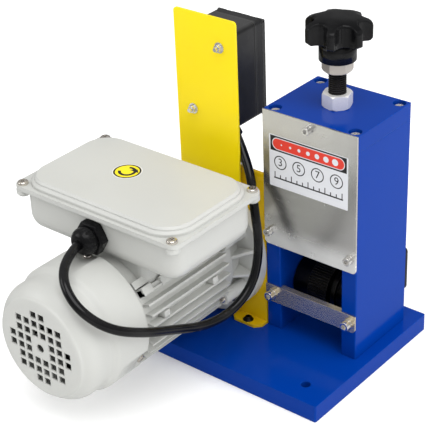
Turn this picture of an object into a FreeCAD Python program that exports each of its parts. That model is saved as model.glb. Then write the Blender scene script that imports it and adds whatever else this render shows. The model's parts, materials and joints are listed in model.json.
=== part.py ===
"""Electric wire stripping machine: a motor, a worm gearbox, a feed roller and a round blade
whose height is set by a screw with a star knob. Millimetres, +Z up, origin at the centre of
the base plate's underside. The wire goes in at the back (+Y) and comes out at the front (-Y)."""
import FreeCAD, Part
import math
import os

V = FreeCAD.Vector
X_AXIS = V(1, 0, 0)
Y_AXIS = V(0, 1, 0)
Z_AXIS = V(0, 0, 1)

# Clearances
running = 0.05          # radial, of a shaft in its bore
thread_gap = 0.05       # radial, of a screw in its tapped hole
sliding = 0.3           # between a sliding or turning piece and its guide
passing = 0.3           # between neighbours that do not touch
hole_play = 0.25        # radial, of a screw in a plain hole

# Screws: head and socket as shares of the thread size
head_share = 1.5
socket_share = 0.8
socket_deep_share = 0.5
nut_flats_share = 1.6
nut_high_share = 0.8
bolt_head_share = 0.65
bolt_past_share = 1.1
washer_share = 1.9
washer_thick = 1.0
washer_extra = 1.2
spring_washer_share = 0.86
screw_edge_share = 0.06
pan_high_share = 0.6
pan_slot_share = 0.55
pan_slot_wide_share = 0.2
pan_slot_floor_share = 0.45
button_top_share = 0.55
button_socket_share = 0.66
button_socket_deep_share = 0.7
hole_end = 1.0          # left free under the end of a short screw
long_hole_end = 2.0     # the same under a long one

# Base plate
base_length = 250.0
base_depth = 180.0
base_thick = 17.0
base_hole_bore = 9.0
base_hole_from_end = 26.5
base_hole_from_front = 22.0
base_hole_from_back = 10.0
base_edge = 1.0

# Column: two side plates and a top plate
column_x = 63.0
column_y = 30.0
column_width = 100.0
column_depth = 82.0
side_thick = 16.0
side_high = 211.0
top_thick = 16.0
plate_edge = 0.8
base_screw = 8.0
base_screw_deep = 20.0
base_screw_from_edge = 18.0
base_head_play = 0.5
base_head_room = 1.0
top_screw = 6.0
top_screw_deep = 18.0
top_screw_from_side = 8.0
top_screw_from_front = 7.0
top_head_play = 2.6
top_head_room = 1.4

# Guard plate on the front of the column
guard_thick = 1.5
guard_low = 91.8
guard_corner = 4.0
guard_screw = 5.0
guard_screw_deep = 8.0
guard_screw_from_side = 6.2
guard_screw_above_low = 14.0
guard_screw_below_top = 6.5
washer_gap = 1.2

# Ledge under the outlet
ledge_thick = 1.5
ledge_low = 29.0
ledge_high = 18.0
ledge_lip = 4.5
ledge_screw = 6.0
ledge_screw_deep = 12.0
ledge_slot = 9.0
ledge_screw_from_side = 7.4
ledge_screw_above_low = 8.5

# Infeed plate on the back of the column
infeed_thick = 3.0
infeed_low = 32.0
infeed_high = 46.0
infeed_corner = 5.0
infeed_screw = 5.0
infeed_screw_deep = 10.0
infeed_screw_from_side = 7.5
infeed_screw_from_edge = 9.0
infeed_bores = (3.0, 5.0, 7.0, 9.0)
infeed_pitch = 13.0
infeed_above_nip = 0.3

# Roller shaft and what turns on it
roller_high = 41.0
shaft_bore = 20.0
ball_outer = 42.0
ball_wide = 12.0
shaft_end_gap = 1.5
shaft_pass = 2.0
bearing_groove = 0.6
wheel_left = 18.0
wheel_wide = 21.0
wheel_radius = 24.5
wheel_teeth = 60
wheel_tooth = 0.7
groove_wide = 5.0
groove_radius = 17.0
disc_wide = 4.0
disc_radius = 24.0
spacer_radius = 20.0
collar_radius = 23.0
collar_groove = 1.2
key_wide = 5.0
key_high = 5.0
key_proud = 2.0

# Blade and its carriage
blade_radius = 26.0
blade_thick = 2.5
blade_bevel = 4.0
blade_land = 0.1
blade_over_roller = 15.5
axle_radius = 5.0
axle_flats = 16.15
axle_head_long = 6.0
hub_radius = 11.0
hub_long = 14.0
hub_flange = 17.0
hub_flange_thick = 3.0
fork_wall = 14.0
fork_depth = 32.0
fork_below_axle = 12.0
slab_above_axle = 37.0
slab_thick = 26.0
slab_depth = 74.0
guide_radius = 5.0
guide_offset = 28.0
guide_in_top = 12.0
guide_past_slab = 20.0
bush_radius = 7.0
bush_flange = 8.5
bush_flange_thick = 2.0

# Height screw, its nuts and its star knob
screw_radius = 8.0
screw_collar = 12.0
screw_collar_thick = 5.0
retainer_size = 40.0
retainer_thick = 6.0
retainer_corner = 4.0
retainer_screw = 4.0
retainer_screw_deep = 10.0
retainer_screw_offset = 14.5
nut_flats = 24.0
nut_high = 13.0
nut_edge = 1.4
lock_nut_turned = 17.0
jam_nut_lift = 33.8
jam_nut_high = 10.4
jam_nut_turned = 5.0
knob_radius = 30.0
knob_lobes = 7
knob_lobe_radius = 8.0
knob_valley_radius = 9.0
knob_hub_radius = 16.5
knob_hub_high = 14.3
knob_lobe_high = 17.8
knob_crown = 7.2
knob_turned = -16.3
knob_valley_in = 1.0
knob_skirt_in = 3.0
knob_skirt_out = 3.0
knob_skirt_high = 6.0
knob_skirt_overlap = 2.0
screw_in_knob = 12.6

# Motor: a 140 mm face flange, a finned frame and a fan cover
flange_radius = 70.0
flange_thick = 10.0
flange_bolt_circle = 115.0
flange_bolt = 8.0
spigot_radius = 47.5
spigot_high = 2.5
wheel_to_flange = 42.0
frame_radius = 52.0
frame_wall = 3.0
frame_long = 126.0
bell_long = 18.0
bell_waist_in = 7.0
shield_rib_root = 4.0
shield_rib_in = 5.0
nut_room_share = 1.05
bell_ribs = 16
rib_thick = 3.0
fin_high = 7.5
fin_thick = 2.2
fin_pitch = 10.0
fins_each_side = 10
fin_start = -58.0
fin_from_end = 8.0
bar_wide = 7.0
bar_high = 5.5
bar_angle = 43.0
ear_out = 4.3
ear_radius = 6.5
ear_long = 12.0
ear_pocket = 9.0
ear_pocket_radius = 5.4
ear_angle = 31.0
ear_screw = 4.0
ear_screw_long = 20.0
neck_half = 44.0
neck_from_rear = 16.0
neck_long = 92.0
neck_wall = 4.0
neck_corner = 8.0
shield_thick = 8.0
hub_wall = 4.0
motor_ball_bore = 17.0
motor_ball_outer = 40.0
motor_ball_wide = 12.0
core_long = 66.0
core_bore_radius = 30.0
core_from_rear = 28.0
slots = 24
slot_from_frame = 10.0
slot_mouth = 1.0
slot_wide = 4.0
winding_long = 18.0
winding_over_bore = 3.0
winding_from_frame = 6.0
winding_past_core = 1.0
air_gap = 0.4
rotor_ring = 6.0
rotor_ring_in = 3.0
shaft_body_radius = 12.0
shaft_end_radius = 5.5
shaft_end_long = 22.0
shaft_room = 1.0
shaft_seat_short = 4.0
fan_shaft_short = 2.0

# Fan and fan cover
cover_over_fins = 0.5
cover_wall = 1.5
cover_long = 71.5
cover_overlap = 0.2
cover_edge = 18.0
cover_hole = 6.8
cover_pitch = 9.3
cover_rows = (2, 6, 6, 8, 8, 6, 6, 2)
cover_centre_bore = 8.0
cover_screw = 4.0
cover_screw_long = 9.0
cover_screw_from_rear = 4.0
cover_screw_angles = (92.0, 212.0, 332.0)
pocket_radius = 10.0
pocket_deep = 2.5
pocket_past = 5.0
lug_wide = 12.0
lug_root = 4.0
fan_in_cover = 8.5
fan_hub_radius = 14.0
fan_wide = 18.0
fan_disc = 2.0
fan_disc_in = 8.0
fan_blade_root = 1.0
fan_blades = 7
fan_blade_thick = 2.0
fan_from_shield = 10.0
fan_shaft_radius = 7.0

# Terminal box
box_x_half = 89.5
box_y_half = 55.0
box_behind_flange = 93.5
box_over_frame = 1.0
box_high = 40.0
box_wall = 3.0
box_corner = 18.0
box_floor_round = 16.0
lid_over_x = 5.0
lid_over_y = 4.5
lid_corner = 8.0
lid_rim = 4.5
lid_panel_in_x = 4.0
lid_panel_in_y = 3.5
lid_panel_corner = 28.0
lid_panel = 4.5
lid_step_in = 3.0
lid_step = 3.0
lid_slope = 2.0
lid_screw = 5.0
lid_screw_long = 4.5
lid_screw_in_x = 7.5
lid_screw_in_y = 6.0
boss_radius = 6.5
boss_high = 4.0
boss_taper = 2.0
boss_tip_share = 0.75
wire_hole_radius = 9.0
capacitor_radius = 13.5
capacitor_long = 70.0
capacitor_from_end = 30.0
capacitor_round = 1.5
block_long = 44.0
block_wide = 20.0
block_high = 12.0
block_from_middle = 8.0
block_screw_radius = 3.0

# Cable gland on the terminal box
gland_above_floor = 22.5
gland_thread = 10.0
gland_thread_long = 12.0
gland_hole_past = 2.0
gland_flats = 28.0
gland_hex = 9.0
gland_dome_radius = 12.5
gland_dome_long = 13.0
gland_nose_radius = 8.5
gland_ribs = 12
gland_rib_radius = 1.3
gland_rib_out = 0.6
gland_rib_share = 0.55
gland_edge = 1.5
gland_nose_round = 2.0

# Motor bracket
bracket_thick = 3.0
bracket_high = 141.0
bracket_tab_high = 161.5
bracket_tab_reach = 23.5
foot_depth = 16.0
foot_wide = 35.0
foot_corner = 6.0
foot_screw = 6.0
foot_screw_deep = 12.0
foot_screw_from_edge = 16.5
foot_screw_in = 7.5
button_head_high = 3.3
button_head_share = 1.75
bracket_edge_gap = 0.5

# Switch plate, switch and its flap
switch_plate_thick = 2.0
switch_plate_wide = 69.5
switch_plate_right = 10.2
switch_plate_low = 142.0
switch_plate_high = 161.3
switch_plate_corner = 3.5
spacer_flats = 8.0
spacer_high = 4.0
stud_size = 5.0
stud_in = 6.3
stud_above_low = 15.5
stud_past_share = 1.2
switch_wide = 50.7
switch_from_plate_edge = 9.1
switch_low = 195.5
switch_tall = 92.7
switch_deep = 40.0
switch_wall = 2.5
switch_corner = 4.0
switch_back_round = 1.5
switch_cover_deep = 6.5
cover_well = 4.5
cover_well_side = 4.0
cover_well_low = 5.0
cover_well_top = 8.0
cover_well_corner = 3.0
switch_screw = 4.0
switch_screw_in = 9.0
switch_screw_low = 14.0
switch_screw_down = 12.0
switch_screw_past_share = 1.5
flap_deep = 5.0
flap_wall = 2.0
flap_hinge_radius = 2.4
flap_pin_radius = 1.0
flap_hinge_down = 3.0
flap_lip = 3.0
flap_knuckle = 8.0
flap_knuckle_room = 1.0
flap_knuckle_low_room = 0.6
flap_knuckle_back = 3.0
flap_corner = 2.0
flap_lip_half = 9.0
flap_lip_out = 1.0
flap_pin_in = 1.0
hinge_lug_in = 0.2
hinge_stem_half = 1.2
hinge_stem_root = 1.5
button_wide = 24.0
button_tall = 24.0
button_deep = 9.0
button_proud = 3.0
button_gap = 7.0
button_above_middle = 0.5
button_corner = 2.0
button_round = 0.8
button_travel = 3.0
contact_wide = 30.0
contact_tall = 52.0
contact_deep = 18.0

# Gearbox
centre_distance = 30.0
gearbox_offset = 69.0
worm_radius = 8.2
worm_core = 5.6
worm_pitch = 5.6
worm_long = 40.0
worm_end_radius = 8.5
worm_ball_outer = 35.0
worm_ball_wide = 10.0
worm_ball_gap = 1.0
worm_start_gap = 1.5
worm_room = 1.0
worm_run_in = 2.0
worm_run_out = 4.0
worm_flank = 1.0
worm_crest = 1.2
worm_bore_past = 1.0
gear_tooth_deep = 2.6
gear_teeth = 24
gear_tooth_gap = 2.6
gear_wide = 16.0
gear_hub = 15.0
gear_hub_long = 24.0
gear_shaft_room = 1.5
gear_foot_share = 0.6
gear_tooth_past = 1.0
housing_wall = 6.0
housing_half = 28.0
chamber_half = 14.0
chamber_gap = 1.5
housing_edge = 5.0
housing_back_extra = 4.0
plate_size = 105.0
plate_thick = 8.0
plate_corner = 12.0
plate_recess = 1.0
plate_recess_in = 4.0
gear_cover_radius = 29.0
gear_cover_thick = 6.0
gear_cover_screw = 4.0
gear_cover_screw_circle = 26.0
gear_cover_screw_deep = 10.0
bearing_lip = 2.0
oil_plug = 8.0
oil_plug_right = 18.0
oil_plug_flats = 13.0
oil_plug_head = 5.0
oil_plug_stem = 6.0
coupling_radius = 18.0
coupling_long = 34.0
coupling_screw = 6.0
coupling_split = 0.5
coupling_edge = 1.0
coupling_screw_sunk = 1.5
coupling_hex = 3.0
coupling_hex_deep = 3.0
coupling_from_column = 20.5

# Cords
motor_lead_diameter = 8.5
mains_diameter = 7.5
mains_from_side = 27.0
mains_from_back = 31.0
relief_radius = 7.0
relief_long = 24.0
relief_wall = 1.2
relief_step = 1.2
relief_grooves = 5
relief_pitch = 4.0
lead_boot_radius = 6.4
relief_groove_wide = 1.4
relief_groove_wall = 0.9
relief_groove_past = 1.0
relief_rim_past = 2.0
boot_trim = 50.0
coil_x = -44.0
coil_y = 204.0
coil_outer = 52.0
coil_step = 8.3
coil_turns = 2.5
coil_layer_step = 8.3
plug_long = 34.0
plug_wide = 26.0
plug_high = 20.0
plug_neck_long = 14.0
plug_neck_radius = 6.5
plug_neck_wall = 1.0
plug_corner = 4.0
plug_blade_long = 16.0
plug_blade_wide = 6.0
plug_blade_thick = 1.6
plug_blade_pitch = 12.7

# Places worked out from the sizes above
column_left = column_x - column_width / 2
column_right = column_x + column_width / 2
column_front = column_y - column_depth / 2
column_back = column_y + column_depth / 2
inner_left = column_left + side_thick
inner_right = column_right - side_thick
top_under = base_thick + side_high
top_upper = top_under + top_thick
roller_z = base_thick + roller_high
blade_x = inner_left + wheel_left + wheel_wide / 2
blade_z = roller_z + wheel_radius + blade_over_roller + blade_radius
slab_low = blade_z + slab_above_axle
slab_top = slab_low + slab_thick
motor_x = column_left - gearbox_offset
motor_z = roller_z + centre_distance
bell_waist = frame_radius - bell_waist_in
fin_radius = frame_radius + fin_high
bar_radius = frame_radius + bar_high
ear_circle = frame_radius + ear_out
slot_radius = frame_radius - slot_from_frame
winding_inner = core_bore_radius + winding_over_bore
winding_outer = frame_radius - winding_from_frame
cover_radius = fin_radius + cover_over_fins
fan_radius = cover_radius - cover_wall - fan_in_cover
bracket_left = -base_length / 2
bracket_front = column_y - wheel_to_flange
bracket_back = bracket_front + bracket_thick
flange_front = bracket_front - flange_thick
frame_front_end = flange_front - bell_long
frame_rear_end = frame_front_end - frame_long
shield_rear = frame_rear_end - shield_thick
cover_rear = frame_rear_end + cover_overlap
cover_end = cover_rear - cover_long
box_y = bracket_front - box_behind_flange
box_low = motor_z + frame_radius + box_over_frame
box_top = box_low + box_high
gland_z = box_low + gland_above_floor
lid_x_half = box_x_half + lid_over_x
lid_y_half = box_y_half + lid_over_y
lid_panel_x_half = lid_x_half - lid_panel_in_x
lid_panel_y_half = lid_y_half - lid_panel_in_y
lid_screw_x = lid_x_half - lid_screw_in_x
lid_screw_y = lid_y_half - lid_screw_in_y
lid_top = box_top + lid_rim + lid_panel
plate_back = bracket_front - spacer_high
plate_front = plate_back - switch_plate_thick
plate_right = -switch_plate_right
plate_left = plate_right - switch_plate_wide
plate_low = base_thick + switch_plate_low
plate_top = plate_low + switch_plate_high
switch_right = plate_right - switch_from_plate_edge
switch_left = switch_right - switch_wide
switch_under = base_thick + switch_low
switch_top = switch_under + switch_tall
switch_back = plate_back
switch_face = switch_back + switch_deep
switch_front_face = switch_face + switch_cover_deep
guard_bottom = base_thick + guard_low
ledge_bottom = base_thick + ledge_low
ledge_top = ledge_bottom + ledge_high


# Shapes used many times

def block(x0, x1, y0, y1, z0, z1):
    return Part.makeBox(x1 - x0, y1 - y0, z1 - z0, V(x0, y0, z0))


def rod(radius, length, start, axis):
    return Part.makeCylinder(radius, length, start, axis)


def cone(radius_a, radius_b, length, start, axis):
    return Part.makeCone(radius_a, radius_b, length, start, axis)


def ring(outer, inner, length, start, axis):
    return rod(outer, length, start, axis).cut(rod(inner, length, start, axis))


def frame_of(axis):
    """Two directions square to an axis."""
    helper = X_AXIS if abs(axis.z) > 0.5 else Z_AXIS
    first = helper.cross(axis)
    first.normalize()
    return first, axis.cross(first)


def polygon_prism(points, travel):
    outline = Part.makePolygon(points + [points[0]])
    return Part.Face(outline).extrude(travel)


def hexagon(flats, length, start, axis, turned=0.0):
    first, second = frame_of(axis)
    radius = flats / math.sqrt(3)
    corners = []
    for number in range(6):
        angle = math.radians(60 * number + turned)
        corners.append(start + first * (radius * math.cos(angle)) + second * (radius * math.sin(angle)))
    return polygon_prism(corners, axis * length)


def edges_along(solid, axis):
    found = []
    for edge in solid.Edges:
        if isinstance(edge.Curve, Part.Line) and abs(abs(edge.Curve.Direction.dot(axis)) - 1) < 1e-6:
            found.append(edge)
    return found


def rounded_block(x0, x1, y0, y1, z0, z1, radius, axis):
    solid = block(x0, x1, y0, y1, z0, z1)
    return solid.makeFillet(radius, edges_along(solid, axis))


def joined(shapes):
    whole = shapes[0]
    if len(shapes) > 1:
        whole = whole.fuse(shapes[1:])
    return whole.removeSplitter()


def cut_all(solid, tools):
    return solid.cut(tools)


def around(angle, radius, centre, first, second):
    turned = math.radians(angle)
    return centre + first * (radius * math.cos(turned)) + second * (radius * math.sin(turned))


# Fasteners

def socket_screw(size, length, seat, axis):
    """Cap screw: the head stands on the seat, towards the axis."""
    head = rod(size * head_share / 2, size, seat, axis)
    top_edges = [e for e in head.Edges if isinstance(e.Curve, Part.Circle)]
    head = head.makeChamfer(size * screw_edge_share, top_edges)
    socket_deep = size * socket_deep_share
    socket = hexagon(size * socket_share, socket_deep, seat + axis * (size - socket_deep), axis)
    shank = rod(size / 2 - thread_gap, length, seat - axis * length, axis)
    return joined([head.cut(socket), shank])


def button_screw(size, length, seat, axis):
    head_radius = size * button_head_share / 2
    dome = cone(head_radius, head_radius * button_top_share, button_head_high, seat, axis)
    socket_deep = button_head_high * button_socket_deep_share
    floor = seat + axis * (button_head_high - socket_deep)
    socket = hexagon(size * button_socket_share, socket_deep, floor, axis)
    shank = rod(size / 2 - thread_gap, length, seat - axis * length, axis)
    return joined([dome.cut(socket), shank])


def pan_screw(size, length, seat, axis):
    """Cross-slotted pan head."""
    first, second = frame_of(axis)
    high = size * pan_high_share
    head = rod(size, high, seat, axis)
    rims = [e for e in head.Edges if isinstance(e.Curve, Part.Circle)]
    outer_rim = [e for e in rims if (e.Curve.Center - seat).dot(axis) > high / 2]
    head = head.makeFillet(high * pan_high_share, outer_rim)
    slots_cut = []
    for along, across in ((first, second), (second, first)):
        corner = seat + axis * (high * pan_slot_floor_share)
        points = []
        for reach, side in ((-1, -1), (1, -1), (1, 1), (-1, 1)):
            points.append(corner + along * (reach * size * pan_slot_share)
                          + across * (side * size * pan_slot_wide_share / 2))
        slots_cut.append(polygon_prism(points, axis * high))
    shank = rod(size / 2 - thread_gap, length, seat - axis * length, axis)
    return joined([head.cut(slots_cut), shank])


def hex_nut(size, seat, axis, turned=0.0):
    """Nut with chamfered corners; the screw passes through its plain bore."""
    high = size * nut_high_share
    flats = size * nut_flats_share
    body = hexagon(flats, high, seat, axis, turned)
    envelope = chamfered_disc(flats / math.sqrt(3), high, flats * screw_edge_share, seat, axis)
    return body.common(envelope).cut(rod(size / 2 + thread_gap, high, seat, axis))


def chamfered_disc(radius, high, edge, seat, axis):
    low = cone(radius - edge, radius, edge, seat, axis)
    middle = rod(radius, high - 2 * edge, seat + axis * edge, axis)
    high_cone = cone(radius, radius - edge, edge, seat + axis * (high - edge), axis)
    return joined([low, middle, high_cone])


def plain_washer(size, seat, axis):
    return ring(size * washer_share / 2 + washer_extra, size / 2 + hole_play, washer_thick, seat, axis)


def spring_washer(size, seat, axis):
    """Split ring under a screw head."""
    first, second = frame_of(axis)
    whole = ring(size * spring_washer_share, size / 2 + hole_play, washer_gap, seat, axis)
    half = size * 0.1
    points = []
    for reach, side in ((0.2, -1), (1.2, -1), (1.2, 1), (0.2, 1)):
        points.append(seat + first * (reach * size) + second * (side * half))
    return whole.cut(polygon_prism(points, axis * washer_gap))


def drilled(size, deep, mouth, axis):
    """Tool for a tapped hole; axis points out of its mouth."""
    return rod(size / 2, deep, mouth - axis * deep, axis)


def plain_hole(size, long, start, axis):
    return rod(size / 2 + hole_play, long, start, axis)


# Places of the screws, shared by the screws and by every plate that they pass

def base_screw_places():
    places = []
    for x in (column_left + side_thick / 2, column_right - side_thick / 2):
        for y in (column_front + base_screw_from_edge, column_back - base_screw_from_edge):
            places.append(V(x, y, base_thick))
    return places


def top_screw_places():
    places = []
    for x in (column_left + top_screw_from_side, column_right - top_screw_from_side):
        for y in (column_front + top_screw_from_front, column_back - top_screw_from_front):
            places.append(V(x, y, top_under))
    return places


def guard_screw_places():
    y = column_front - guard_thick
    low = guard_bottom + guard_screw_above_low
    return [
        V(column_left + guard_screw_from_side, y, low),
        V(column_right - guard_screw_from_side, y, low),
        V(column_x, y, top_upper - guard_screw_below_top),
    ]


def ledge_screw_places():
    y = column_front - ledge_thick
    z = ledge_bottom + ledge_screw_above_low
    return [V(column_left + ledge_screw_from_side, y, z), V(column_right - ledge_screw_from_side, y, z)]


def infeed_screw_places():
    y = column_back + infeed_thick
    places = []
    for x in (column_left + infeed_screw_from_side, column_right - infeed_screw_from_side):
        for z in (base_thick + infeed_low + infeed_screw_from_edge,
                  base_thick + infeed_low + infeed_high - infeed_screw_from_edge):
            places.append(V(x, y, z))
    return places


def flange_bolt_places(y):
    places = []
    for number in range(4):
        angle = 45 + 90 * number
        places.append(around(angle, flange_bolt_circle / 2, V(motor_x, y, motor_z), X_AXIS, Z_AXIS))
    return places


def foot_screw_places():
    z = base_thick + bracket_thick
    y = bracket_front - foot_screw_in
    right = column_left - bracket_edge_gap - foot_screw_from_edge
    left = bracket_left + foot_screw_from_edge
    return [V(right, y, z), V(left, y, z)]


def stud_places():
    z = plate_low + stud_above_low
    return [V(plate_right - stud_in, plate_back, z), V(plate_left + stud_in, plate_back, z)]


def switch_screw_places():
    return [
        V(switch_right - switch_screw_in, plate_back, switch_top - switch_screw_down),
        V(switch_left + switch_screw_in, plate_back, switch_under + switch_screw_low),
    ]


def retainer_screw_places():
    z = slab_top + retainer_thick
    places = []
    for x in (-1, 1):
        for y in (-1, 1):
            places.append(V(column_x + x * retainer_screw_offset, column_y + y * retainer_screw_offset, z))
    return places


def lid_screw_places():
    z = box_top + lid_rim
    places = []
    for x, y in ((-1, -1), (1, -1), (1, 1), (-1, 1)):
        places.append(V(motor_x + x * lid_screw_x, box_y + y * lid_screw_y, z))
    return places


def ear_places(y):
    centre = V(motor_x, y, motor_z)
    places = []
    for angle in (ear_angle, 180 - ear_angle, 180 + ear_angle, -ear_angle):
        places.append(around(angle, ear_circle, centre, X_AXIS, Z_AXIS))
    return places


def gear_cover_screw_places(x):
    centre = V(x, column_y, roller_z)
    return [around(45 + 90 * n, gear_cover_screw_circle, centre, Y_AXIS, Z_AXIS) for n in range(4)]


# Base and column

def base_hole_places():
    places = []
    for x in (-base_length / 2 + base_hole_from_end, base_length / 2 - base_hole_from_end):
        for y in (-base_depth / 2 + base_hole_from_front, base_depth / 2 - base_hole_from_back):
            places.append(V(x, y, 0))
    return places


def make_base_plate():
    plate = block(-base_length / 2, base_length / 2, -base_depth / 2, base_depth / 2, 0, base_thick)
    plate = plate.makeChamfer(base_edge, edges_along(plate, Z_AXIS))
    tools = [rod(base_hole_bore / 2, base_thick, place, Z_AXIS) for place in base_hole_places()]
    head_deep = base_screw + base_head_play
    for place in base_screw_places():
        floor = V(place.x, place.y, 0)
        tools.append(plain_hole(base_screw, base_thick, floor, Z_AXIS))
        tools.append(rod(base_screw * head_share / 2 + base_head_room, head_deep, floor, Z_AXIS))
    for place in foot_screw_places():
        tools.append(drilled(foot_screw, foot_screw_deep, V(place.x, place.y, base_thick), Z_AXIS))
    return cut_all(plate, tools)


def make_base_screws():
    seat_z = base_screw + base_head_play
    long = base_thick - seat_z + base_screw_deep - long_hole_end
    return [socket_screw(base_screw, long, V(p.x, p.y, seat_z), V(0, 0, -1)) for p in base_screw_places()]


def side_plate_tools():
    tools = []
    for place in base_screw_places():
        tools.append(drilled(base_screw, base_screw_deep, place, V(0, 0, -1)))
    for place in top_screw_places():
        tools.append(drilled(top_screw, top_screw_deep, place, Z_AXIS))
    for place in guard_screw_places():
        if place.z < top_under:
            tools.append(drilled(guard_screw, guard_screw_deep, V(place.x, column_front, place.z), V(0, -1, 0)))
    for place in ledge_screw_places():
        tools.append(drilled(ledge_screw, ledge_screw_deep, V(place.x, column_front, place.z), V(0, -1, 0)))
    for place in infeed_screw_places():
        tools.append(drilled(infeed_screw, infeed_screw_deep, V(place.x, column_back, place.z), Y_AXIS))
    left_pocket = V(inner_left - ball_wide, column_y, roller_z)
    right_pocket = V(inner_right, column_y, roller_z)
    through = V(column_left, column_y, roller_z)
    tools.append(rod(ball_outer / 2, ball_wide, left_pocket, X_AXIS))
    tools.append(rod(ball_outer / 2, ball_wide, right_pocket, X_AXIS))
    tools.append(rod(shaft_bore / 2 + shaft_pass, side_thick, through, X_AXIS))
    return tools


def make_side_plate(left):
    plate = block(left, left + side_thick, column_front, column_back, base_thick, top_under)
    plate = plate.makeChamfer(plate_edge, edges_along(plate, Z_AXIS))
    return cut_all(plate, side_plate_tools())


def make_top_plate():
    plate = block(column_left, column_right, column_front, column_back, top_under, top_upper)
    plate = plate.makeChamfer(plate_edge, edges_along(plate, Z_AXIS))
    tools = []
    head_deep = top_screw + top_head_play
    for place in top_screw_places():
        tools.append(plain_hole(top_screw, top_thick, place, Z_AXIS))
        seat = V(place.x, place.y, top_upper - head_deep)
        tools.append(rod(top_screw * head_share / 2 + top_head_room, head_deep, seat, Z_AXIS))
    tools.append(rod(screw_radius + running, top_thick, V(column_x, column_y, top_under), Z_AXIS))
    for side in (-1, 1):
        low = V(column_x, column_y + side * guide_offset, top_under)
        tools.append(rod(guide_radius, guide_in_top, low, Z_AXIS))
    top_place = guard_screw_places()[2]
    tools.append(drilled(guard_screw, guard_screw_deep, V(top_place.x, column_front, top_place.z), V(0, -1, 0)))
    return cut_all(plate, tools)


def make_top_screws():
    head_deep = top_screw + top_head_play
    seat_z = top_upper - head_deep
    long = top_thick - head_deep + top_screw_deep - long_hole_end
    return [socket_screw(top_screw, long, V(p.x, p.y, seat_z), Z_AXIS) for p in top_screw_places()]


def make_guard_plate():
    y0 = column_front - guard_thick
    plate = block(column_left, column_right, y0, column_front, guard_bottom, top_upper)
    low = [e for e in edges_along(plate, Y_AXIS) if e.CenterOfMass.z < guard_bottom + 1]
    plate = plate.makeFillet(guard_corner, low)
    tools = [plain_hole(guard_screw, guard_thick, place, Y_AXIS) for place in guard_screw_places()]
    return cut_all(plate, tools)


def make_guard_screws():
    screws = []
    for place in guard_screw_places():
        seat = place - Y_AXIS * washer_gap
        long = washer_gap + guard_thick + guard_screw_deep - hole_end
        screws.append(socket_screw(guard_screw, long, seat, V(0, -1, 0)))
    return screws


def make_exit_ledge():
    y0 = column_front - ledge_thick
    flange = block(column_left, column_right, y0, column_front, ledge_bottom, ledge_top)
    corners = [e for e in edges_along(flange, Y_AXIS) if e.CenterOfMass.z < ledge_bottom + 1]
    flange = flange.makeFillet(guard_corner, corners)
    lip = block(inner_left + passing, inner_right - passing, y0, column_front + ledge_lip,
                ledge_top - ledge_thick, ledge_top)
    ledge = joined([flange, lip])
    tools = []
    for place in ledge_screw_places():
        reach = (ledge_slot - ledge_screw) / 2
        for side in (-1, 1):
            tools.append(plain_hole(ledge_screw, ledge_thick, place + Z_AXIS * (side * reach), Y_AXIS))
        half = ledge_screw / 2 + hole_play
        tools.append(block(place.x - half, place.x + half, y0, column_front, place.z - reach, place.z + reach))
    return cut_all(ledge, tools)


def make_ledge_screws():
    screws = []
    for place in ledge_screw_places():
        seat = place - Y_AXIS * washer_gap
        long = washer_gap + ledge_thick + ledge_screw_deep - hole_end
        screws.append(socket_screw(ledge_screw, long, seat, V(0, -1, 0)))
    return screws


def make_spring_washers():
    washers = [spring_washer(guard_screw, place, V(0, -1, 0)) for place in guard_screw_places()]
    washers += [spring_washer(ledge_screw, place, V(0, -1, 0)) for place in ledge_screw_places()]
    return washers


def infeed_hole_places():
    """Hole centres; the lowest point of each hole is level, just above the roller."""
    first = blade_x + infeed_pitch * (len(infeed_bores) - 1) / 2
    places = []
    for number, bore in enumerate(infeed_bores):
        z = roller_z + wheel_radius + infeed_above_nip + bore / 2
        places.append((bore, V(first - infeed_pitch * number, column_back, z)))
    return places


def make_infeed_plate():
    low = base_thick + infeed_low
    plate = rounded_block(column_left, column_right, column_back, column_back + infeed_thick,
                          low, low + infeed_high, infeed_corner, Y_AXIS)
    tools = []
    for place in infeed_screw_places():
        tools.append(plain_hole(infeed_screw, infeed_thick, V(place.x, column_back, place.z), Y_AXIS))
    for bore, place in infeed_hole_places():
        tools.append(rod(bore / 2, infeed_thick, place, Y_AXIS))
    return cut_all(plate, tools)


def make_infeed_screws():
    long = infeed_thick + infeed_screw_deep - hole_end
    return [socket_screw(infeed_screw, long, place, Y_AXIS) for place in infeed_screw_places()]


# Roller shaft

def on_roller_axis(x):
    return V(x, column_y, roller_z)


def keyed(solid, x0, x1):
    """Cuts the keyway of the roller shaft through a piece, from x0 to x1."""
    half = key_wide / 2
    low = roller_z + shaft_bore / 2 - (key_high - key_proud)
    return solid.cut(block(x0, x1, column_y - half, column_y + half, low, low + key_high))


def wheel_start():
    return inner_left + wheel_left


def make_roller_shaft():
    start = coupling_middle() + coupling_split / 2
    end = inner_right + ball_wide - shaft_end_gap
    shaft = rod(shaft_bore / 2, end - start, on_roller_axis(start), X_AXIS)
    x0 = wheel_start()
    return keyed(shaft, x0, x0 + wheel_wide)


def make_feed_wheel():
    x0 = wheel_start()
    body = ring(wheel_radius, shaft_bore / 2, wheel_wide, on_roller_axis(x0), X_AXIS)
    cuts = []
    for number in range(wheel_teeth):
        angle = 360.0 * number / wheel_teeth
        place = around(angle, wheel_radius, on_roller_axis(x0), Y_AXIS, Z_AXIS)
        cuts.append(rod(wheel_tooth, wheel_wide, place, X_AXIS))
    return keyed(body.cut(cuts), x0, x0 + wheel_wide)


def make_left_collar():
    x0 = inner_left + passing
    x1 = wheel_start()
    body = ring(collar_radius, shaft_bore / 2, x1 - x0, on_roller_axis(x0), X_AXIS)
    rims = [e for e in body.Edges if isinstance(e.Curve, Part.Circle) and e.Curve.Radius > collar_radius - 1
            and e.Curve.Center.x < x0 + 1]
    return body.makeChamfer(collar_groove, rims)


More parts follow.
